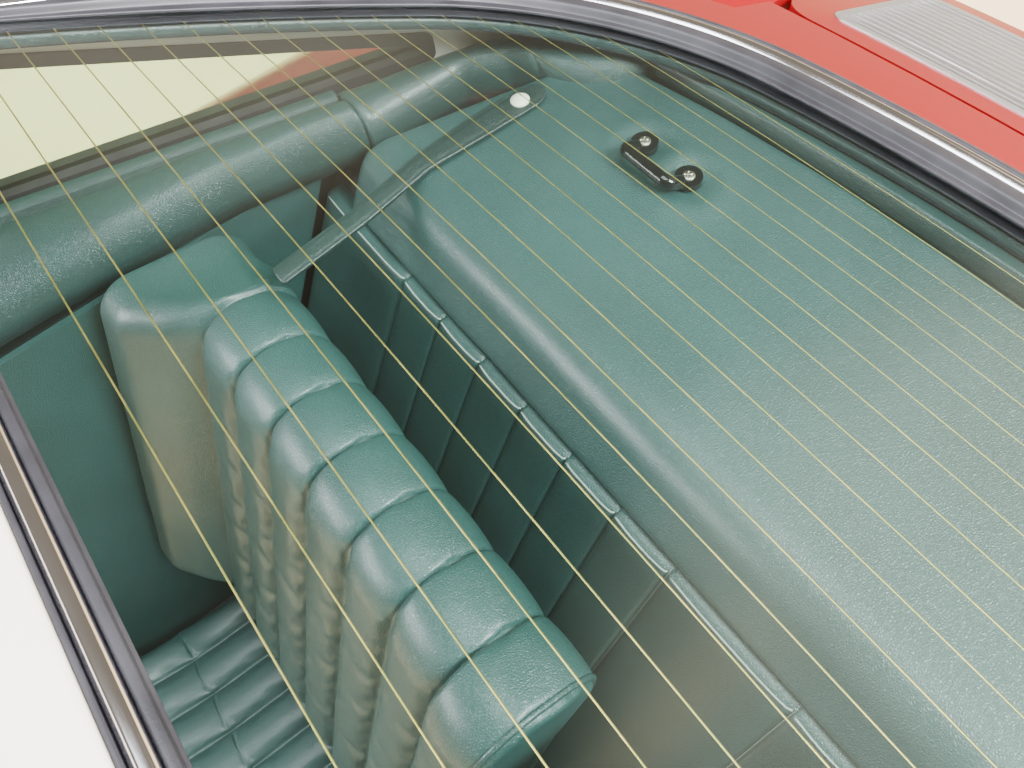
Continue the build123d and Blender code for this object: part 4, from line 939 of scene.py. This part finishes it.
def lining_grid():
    """Each pleat rises from a sunk seam, is fullest past its middle, and ends on the next."""
    seams = lining_seams()
    share = np.concatenate(([0, 0.012, 0.04], np.linspace(0.1, 0.9, 9), [0.96, 0.988]))
    x = (seams[:-1, None] + np.diff(seams)[:, None] * share).ravel()
    swell = 0.8 + 0.2 * np.sin(np.linspace(0, math.pi, 9))
    pleat = PLEAT_LAP * np.concatenate(([0, 0.55, 0.75], swell, [0.7, 0.45]))
    rise = np.append(np.tile(pleat, len(seams) - 1), 0)
    x = np.append(x, seams[-1])
    down = np.linspace(0, 1, 80)
    z = LINING_TOP[1] + (LINING_BOTTOM_Z - LINING_TOP[1]) * down
    height = LINING_THICK - PLEAT_LAP + rise[None, :] * (1 - 0.5 * down[:, None] ** 6)
    height = height + 0.5 * ripple(x[None, :], z[:, None], 120, 4.0)
    height = np.minimum(height, LINING_THICK - 0.3)
    y = bulkhead_y(z[:, None], height)
    top = np.stack((x[None, :] + 0 * y, y, z[:, None] + 0 * y), axis=-1)
    back = bulkhead_y(z[:, None], 0.6 + 0 * height)
    return top, np.stack((x[None, :] + 0 * y, back, z[:, None] + 0 * y), axis=-1)


lining_top, lining_back = lining_grid()
lining = closed_sheet("pleated_lining", lining_top, lining_back)
fit(lining, "cabin", "leatherette", teal_vinyl, "bulkhead_lining")


# Lining edges: a pale bead along the top of each pleat and a thin pale thread down each seam,
# both painted highlights where the edges catch the light.
EDGE_R = 0.7
THREAD_R = 0.4
PLEAT_COLUMNS = 14

edge_rows = [lining_top[0, start + 2:start + PLEAT_COLUMNS] - (0, EDGE_R * 0.4, EDGE_R * 0.5)
             for start in range(0, lining_top.shape[1] - 1, PLEAT_COLUMNS)]
thread_rows = [lining_top[:, start] - (0, THREAD_R, 0)
               for start in range(PLEAT_COLUMNS, lining_top.shape[1] - 1, PLEAT_COLUMNS)]
# Pale colour of the beads and threads: a painted highlight of the lining's edges.
edge_highlight_vinyl = leatherette("pale vinyl as painted edge highlight", "#aab6ad", "#95a29a", 1.2)
beads = [tube_grid(row, EDGE_R) for row in edge_rows] + [tube_grid(row, THREAD_R) for row in thread_rows]
edges = joined("lining_edge_highlights", beads, wrap_columns=True)
fit(edges, "cabin", "leatherette", edge_highlight_vinyl)


# Folding backrests: a ply board with foam and leatherette, sewn in six ribs that run over a
# rolled top edge, with a plain bolster at each end.
HINGE_Y = -280.0
HINGE_Z = 232.0
BACK_RECLINE = math.radians(22.6)
BACK_OUTER_X = -460.0
BACK_INNER_X = -26.0
RIBS_START = -374.0
RIBS_END = -74.0
BOARD_BACK = -18.0
BOARD_FRONT = -5.7
BOARD_TOP = 386.3
ROLL_TOP_U = 429.0
ROLL_FRONT_W = 60.0
PAD_BOTTOM_U = 15.0
END_ROUND = 13.0
INNER_ROUND = 8.0
INNER_REACH = 9.0
INNER_PUFF = 3.0
RIB_PUFF = 2.5
BOLSTER_LIFT = 4.0
SEAM_DEPTH = 4.5
SEAM_HALF = 1.1
SEAM_SIDE = 3.2
SEAM_FLANK = 7.0
PIPING_ROW = -4
PIPING_R = 2.2
PADDING_PRESSURE = 40.0
PADDING_STIFFNESS = 25.0
PADDING_FRAMES = 20
PADDING_RISE = 3.0
# Outer bolster. Columns: share of its width, how far it stands out, how far its front is lower
BOLSTER = ((0.0, 46.0, 30.0), (0.14, 49.0, 30.0), (0.45, 46.0, 28.0), (0.8, 22.0, 14.0), (1.0, 2.0, 3.0))


def panel_places(low, high, count):
    """Places across one sewn panel, with a tight pair beside each seam."""
    middle = np.linspace(low + SEAM_FLANK, high - SEAM_FLANK, count)
    return np.concatenate(([low, low + SEAM_HALF, low + SEAM_SIDE], middle,
                           [high - SEAM_SIDE, high - SEAM_HALF]))


def backrest_grid():
    """The padding as sections across the seat: each section is a closed outline with round
    corners, and its size changes with the place across."""
    seams = np.linspace(RIBS_START, RIBS_END, PLEATS + 1)
    x = np.concatenate((
        BACK_OUTER_X + END_ROUND * (1 - np.cos(np.linspace(0.15, math.pi / 2, 6)[:-1])),
        np.linspace(BACK_OUTER_X + END_ROUND, RIBS_START - SEAM_FLANK, 12),
        [RIBS_START - SEAM_SIDE, RIBS_START - SEAM_HALF],
        *(panel_places(low, high, 7) for low, high in zip(seams, seams[1:])),
        [RIBS_END, RIBS_END + SEAM_HALF, RIBS_END + SEAM_SIDE],
        np.linspace(RIBS_END + SEAM_FLANK, BACK_INNER_X - INNER_ROUND, 7),
        BACK_INNER_X - INNER_ROUND * (1 - np.sin(np.linspace(0.2, 1.35, 5))),
    ))
    share = np.clip((x - BACK_OUTER_X) / (RIBS_START - BACK_OUTER_X), 0, 1)
    table = np.array(BOLSTER)
    reach = np.interp(share, table[:, 0], table[:, 1])
    drop = np.interp(share, table[:, 0], table[:, 2])
    reach = np.where(x > RIBS_START, 0, reach)
    drop = np.where(x > RIBS_START, 0, drop)
    reach = np.where(x > RIBS_END, INNER_REACH, reach)
    lift = np.where(x < RIBS_START, BOLSTER_LIFT, 0.0)
    rib = (x - RIBS_START) / (RIBS_END - RIBS_START) * PLEATS
    on_rib = (x >= RIBS_START) & (x <= RIBS_END)
    puff = np.where(on_rib, RIB_PUFF * np.sin(np.pi * (rib % 1)) ** 0.7, 0.0)
    past_ribs = np.clip((x - RIBS_END) / (BACK_INNER_X - RIBS_END), 0, 1)
    puff = np.where(x > RIBS_END, INNER_PUFF * np.sin(past_ribs * np.pi) ** 0.7, puff)
    near_seam = np.min(np.abs(x[:, None] - seams), axis=1)
    sunk = np.where(near_seam < 0.05, SEAM_DEPTH, 0.0)
    ends = quarter_round(x - BACK_OUTER_X, END_ROUND) + quarter_round(BACK_INNER_X - x, INNER_ROUND)
    inset = sunk + ends - puff
    front = ROLL_FRONT_W + reach - inset
    back = BOARD_BACK + np.clip(inset, -3, 12) * 0.6
    corners = np.stack([
        np.stack((PAD_BOTTOM_U + inset, BOARD_FRONT + 0 * x), axis=-1),
        np.stack((BOARD_TOP + 0 * x, BOARD_FRONT + 0 * x), axis=-1),
        np.stack((BOARD_TOP + 0 * x, back), axis=-1),
        np.stack((ROLL_TOP_U + lift - inset, back), axis=-1),
        np.stack((ROLL_TOP_U + lift - drop - inset, front), axis=-1),
        np.stack((PAD_BOTTOM_U + inset, front), axis=-1),
    ], axis=1)
    shrink = np.clip(inset, -3, 20)[:, None]
    radii = np.array((0.5, 0.5, 0.5, 37.0, 37.0, 27.0)) - shrink * np.array((0, 0, 0, 0.6, 0.9, 0.9))
    radii[x < RIBS_START] -= np.array((0, 0, 0, 3, 6, 0))
    section = rounded_path(corners, radii, (2, 2, 2, 12, 14, 8), (30, 2, 6, 1, 44, 4))
    u, w = section[..., 0], section[..., 1]
    wide = x[:, None]
    w = w + np.where(w > 20, 0.5 * ripple(wide, u, 60, 5.0), 0)
    y = HINGE_Y + u * math.sin(BACK_RECLINE) - w * math.cos(BACK_RECLINE)
    z = HINGE_Z + u * math.cos(BACK_RECLINE) + w * math.sin(BACK_RECLINE)
    points = np.stack((wide + 0 * y, y, z), axis=-1)
    sewn = (near_seam < 0.05)[:, None] | (w < BOARD_FRONT + 0.5) & (u < BOARD_TOP + 3)
    sewn[PIPING_ROW] = True
    return points, sewn


def inflate(piece, held):
    """Blows the padding up against its seams: cloth under pressure, with the held points fixed
    and every point's way capped. The result is written into the mesh."""
    mesh = piece.data
    count = len(mesh.vertices)
    rest = np.empty(count * 3, np.float32)
    mesh.vertices.foreach_get("co", rest)
    group = piece.vertex_groups.new(name="sewn")
    group.add(np.flatnonzero(held).tolist(), 1.0, "REPLACE")
    cloth = piece.modifiers.new("padding", "CLOTH")
    settings = cloth.settings
    settings.quality = 4
    settings.mass = 0.3
    settings.tension_stiffness = settings.compression_stiffness = PADDING_STIFFNESS
    settings.bending_stiffness = 0.4
    settings.use_pressure = True
    settings.uniform_pressure_force = PADDING_PRESSURE
    settings.vertex_group_mass = "sewn"
    settings.shrink_min = -0.02
    settings.effector_weights.gravity = 0
    cloth.point_cache.frame_start = 1
    cloth.point_cache.frame_end = PADDING_FRAMES
    for number in range(1, PADDING_FRAMES + 1):
        scene.frame_set(number)
    solved = piece.evaluated_get(bpy.context.evaluated_depsgraph_get()).to_mesh()
    blown = np.empty(count * 3, np.float32)
    solved.vertices.foreach_get("co", blown)
    way = (blown - rest).reshape(-1, 3)
    length = np.linalg.norm(way, axis=1, keepdims=True)
    way *= np.minimum(1, PADDING_RISE * MM / np.maximum(length, 1e-9))
    piece.modifiers.remove(cloth)
    mesh.vertices.foreach_set("co", (rest.reshape(-1, 3) + way).ravel())
    piece.vertex_groups.clear()
    scene.frame_set(1)


def subdivide(piece):
    """Rounds a piece's faces off by one subdivision."""
    smooth = piece.modifiers.new("subdivision", "SUBSURF")
    smooth.levels = smooth.render_levels = 1


def ribbed_cover(name, grid, held, body, replaced):
    """One sewn cover over its foam, inflated between its seams."""
    cover = surface(name, grid, wrap_columns=True)
    inflate(cover, held.ravel())
    fit(cover, body, "leatherette", teal_vinyl, replaced)
    subdivide(cover)


points, sewn = backrest_grid()
for flip, side in SIDES:
    grid = points * (-flip, 1, 1)
    ribbed_cover(f"backrest_cover_{side}", grid, sewn, f"backrest_{side}", f"backrest_pad_{side}")
    piping = surface(f"backrest_piping_{side}", tube_grid(grid[PIPING_ROW], PIPING_R, True), True, True)
    fit(piping, f"backrest_{side}", "leatherette_roll", roll_vinyl)


# Hold-back straps: a strip of leatherette folded to the middle and sewn, snapped down on the
# shelf by a cap at its rear end. The front end is cut square.
STRAP_Z = 641.5
# Columns: Y, outer X, inner X, thickness
STRAP = (
    (-114.0, -375.0, -357.0, 4.6),
    (-40.0, -381.0, -363.0, 4.8),
    (24.0, -392.0, -373.0, 4.6),
    (85.0, -395.0, -370.0, 3.6),
    (122.0, -393.0, -369.0, 3.0),
)
STRAP_TIP_Y = 138.0


def strap_grid(flip):
    """A flat closed section whose edges and middle stand up a little, carried along the strap,
    and narrowed to a round tip."""
    table = np.array(STRAP)
    round_y = STRAP[-1][0]
    tip = STRAP_TIP_Y - round_y
    end = round_y + tip * np.sin(np.linspace(0, math.pi / 2, 12)[1:])
    y = np.concatenate((np.linspace(STRAP[0][0], round_y, 60), end))
    outer, inner = np.interp(y, table[:, 0], table[:, 1]), np.interp(y, table[:, 0], table[:, 2])
    thick = np.interp(y, table[:, 0], table[:, 3])
    middle, half = (outer + inner) / 2, (inner - outer) / 2
    past = np.clip((y - round_y) / tip, 0, 0.995)
    half = half * np.sqrt(1 - past**2)
    angle = np.linspace(0, 2 * math.pi, 32, endpoint=False)
    side = np.sign(np.cos(angle)) * np.abs(np.cos(angle)) ** 0.7
    lift = np.sign(np.sin(angle)) * np.abs(np.sin(angle)) ** 0.45
    x = middle[:, None] + half[:, None] * side
    top = np.where(lift > 0, 0.5 * np.exp(-(((np.abs(side) - 0.72) / 0.1) ** 2)), 0)
    z = STRAP_Z + thick[:, None] * (lift + 1) / 2 - top
    return np.stack((flip * -x, y[:, None] + 0 * x, z), axis=-1)


strap_vinyl = leatherette("strap leatherette", "#1d3735", "#162c2a", 1.4, (0.3, 0.45))
for flip, side in SIDES:
    strap = surface(f"strap_{side}", strap_grid(flip), wrap_columns=True)
    fit(strap, "cabin", "strap_leather", strap_vinyl, f"hold_strap_{side}")
    subdivide(strap)


# Snap caps and lashing loops: pressed brass caps in baked ivory lacquer, and bent steel loops
# in black gloss. The side panels under the rolls are covered in the same leatherette.
def lacquer(name, hex_colour, roughness, second):
    """Baked lacquer or moulded gloss plastic: one colour with a little wear, under a clear
    shine."""
    material, tree = new_material(name)
    wear = noise(tree, add_node(tree, "ShaderNodeTexCoord"), 40, 2)
    tone = two_tone(tree, hex_colour, second, (wear, "Fac"))
    gloss = ramp(tree, roughness, roughness + 0.06, (wear, "Fac"))
    return finished(material, {"Coat Weight": 0.5}, {"Base Color": (tone, 2), "Roughness": (gloss, 0)})


cap_lacquer = lacquer("ivory lacquer", "#f3f1dc", 0.3, "#e6e3ca")
loop_black = lacquer("black gloss lacquer", "#0b0e0e", 0.16, "#141818")
for _, side in SIDES:
    finish_node(f"snap_cap_{side}", cap_lacquer)
    finish_node(f"lashing_loop_{side}", loop_black)
    finish_node(f"side_trim_{side}", teal_vinyl)


# Loop screws: zinc plated, with a domed head and a cross recess, driven through the loops' feet
# into the shelf panel.
SCREW_HEAD_R = 4.6
SCREW_HEAD_RISE = 1.8
SCREW_SEAT_Z = 645.0
SCREW_SLOT_HALF = 0.5
SCREW_SLOT_DEPTH = 0.9


def screw_grid(x, y):
    """A low dome in rings and spokes, pressed in where it lies in one of two crossed slots."""
    ring = np.concatenate((np.linspace(0.02, 1, 16), [1.0]))
    spoke = np.linspace(0, 2 * math.pi, 64, endpoint=False)
    a = SCREW_HEAD_R * ring[:, None] * np.cos(spoke)
    b = SCREW_HEAD_R * ring[:, None] * np.sin(spoke)
    height = SCREW_HEAD_RISE * np.sqrt(np.clip(1 - 0.85 * ring**2, 0, 1))[:, None] + 0 * a
    slot = np.minimum(np.abs(a + b), np.abs(a - b)) / math.sqrt(2)
    cut = (slot < SCREW_SLOT_HALF) & (ring[:, None] < 0.62)
    height = np.where(cut, height - SCREW_SLOT_DEPTH, height)
    height[-1] = -0.2
    return np.stack((x + a, y + b, SCREW_SEAT_Z + height), axis=-1)


for flip, side in SIDES:
    heads = [screw_grid(-flip * x, LOOP_SCREW_Y) for x in LOOP_SCREWS_X]
    screws = joined(f"loop_screws_{side}", heads, wrap_columns=True)
    fit(screws, "cabin", "zinc_steel", zinc)


# Seat cushions: foam on the steel pan, sewn in the same ribs as the backrests, dished at the
# back and crowned in front.
CUSHION_OUTER_X = -450.0
CUSHION_INNER_X = -112.0
CUSHION_EDGE_Z = 75.0
CUSHION_ROUND = 14.0
CUSHION_MARGIN = 44.0
CUSHION_SEAM_DEPTH = 6.0
CUSHION_PUFF = 4.0
CUSHION_PUFF_REACH = 24.0
CUSHION_SIDE = (
    # Y, Z, radius
    (-300.0, 60.6, 1.0),
    (-300.0, 122.0, 14.0),
    (-440.0, 130.0, 60.0),
    (-630.0, 182.0, 60.0),
    (-676.0, 166.0, 24.0),
    (-688.0, 120.0, 24.0),
    (-688.0, 60.6, 1.0),
)


def cushion_grid():
    """Sections across the cushion, rounded at both ends, with a sunk seam between ribs. Also
    tells which points are sewn down or lie on the pan."""
    seams = np.linspace(CUSHION_OUTER_X + CUSHION_MARGIN, CUSHION_INNER_X - CUSHION_MARGIN, PLEATS)
    first, last = seams[0], seams[-1]
    x = np.concatenate((
        CUSHION_OUTER_X + CUSHION_ROUND * (1 - np.cos(np.linspace(0.1, math.pi / 2, 5)[:-1])),
        np.linspace(CUSHION_OUTER_X + CUSHION_ROUND, first - SEAM_FLANK, 5),
        [first - SEAM_SIDE, first - SEAM_HALF],
        *(panel_places(low, high, 7) for low, high in zip(seams, seams[1:])),
        [last, last + SEAM_HALF, last + SEAM_SIDE],
        np.linspace(last + SEAM_FLANK, CUSHION_INNER_X - CUSHION_ROUND, 5),
        CUSHION_INNER_X - CUSHION_ROUND * (1 - np.sin(np.linspace(0.15, 1.4, 5))),
    ))
    near_seam = np.min(np.abs(x[:, None] - seams), axis=1)
    sunk = np.where(near_seam < 0.05, CUSHION_SEAM_DEPTH, 0.0)
    puff = CUSHION_PUFF * np.clip(near_seam / CUSHION_PUFF_REACH, 0, 1) ** 0.6
    ends = quarter_round(np.minimum(x - CUSHION_OUTER_X, CUSHION_INNER_X - x), CUSHION_ROUND)
    inset = sunk + ends + CUSHION_PUFF - puff
    table = np.array(CUSHION_SIDE)
    corners = np.repeat(table[None, :, :2], len(x), axis=0)
    corners[:, :2, 0] -= inset[:, None]
    corners[:, 5:, 0] += inset[:, None]
    corners[:, 4, 0] += inset
    corners[:, 1:5, 1] -= inset[:, None]
    radii = table[:, 2] * np.ones((len(x), 1))
    side = rounded_path(corners, radii, (2, 8, 8, 10, 8, 6, 2), (6, 10, 14, 3, 3, 5, 40))
    points = np.stack((x[:, None] + 0 * side[..., 0], side[..., 0], side[..., 1]), axis=-1)
    sewn = (near_seam < 0.05)[:, None] | (points[..., 2] < CUSHION_EDGE_Z)
    sewn[[0, -1]] = True
    return points, sewn


cushion_points, sewn = cushion_grid()
for flip, side in SIDES:
    grid = cushion_points * (-flip, 1, 1)
    ribbed_cover(f"cushion_cover_{side}", grid, sewn, "cabin", f"seat_cushion_{side}")
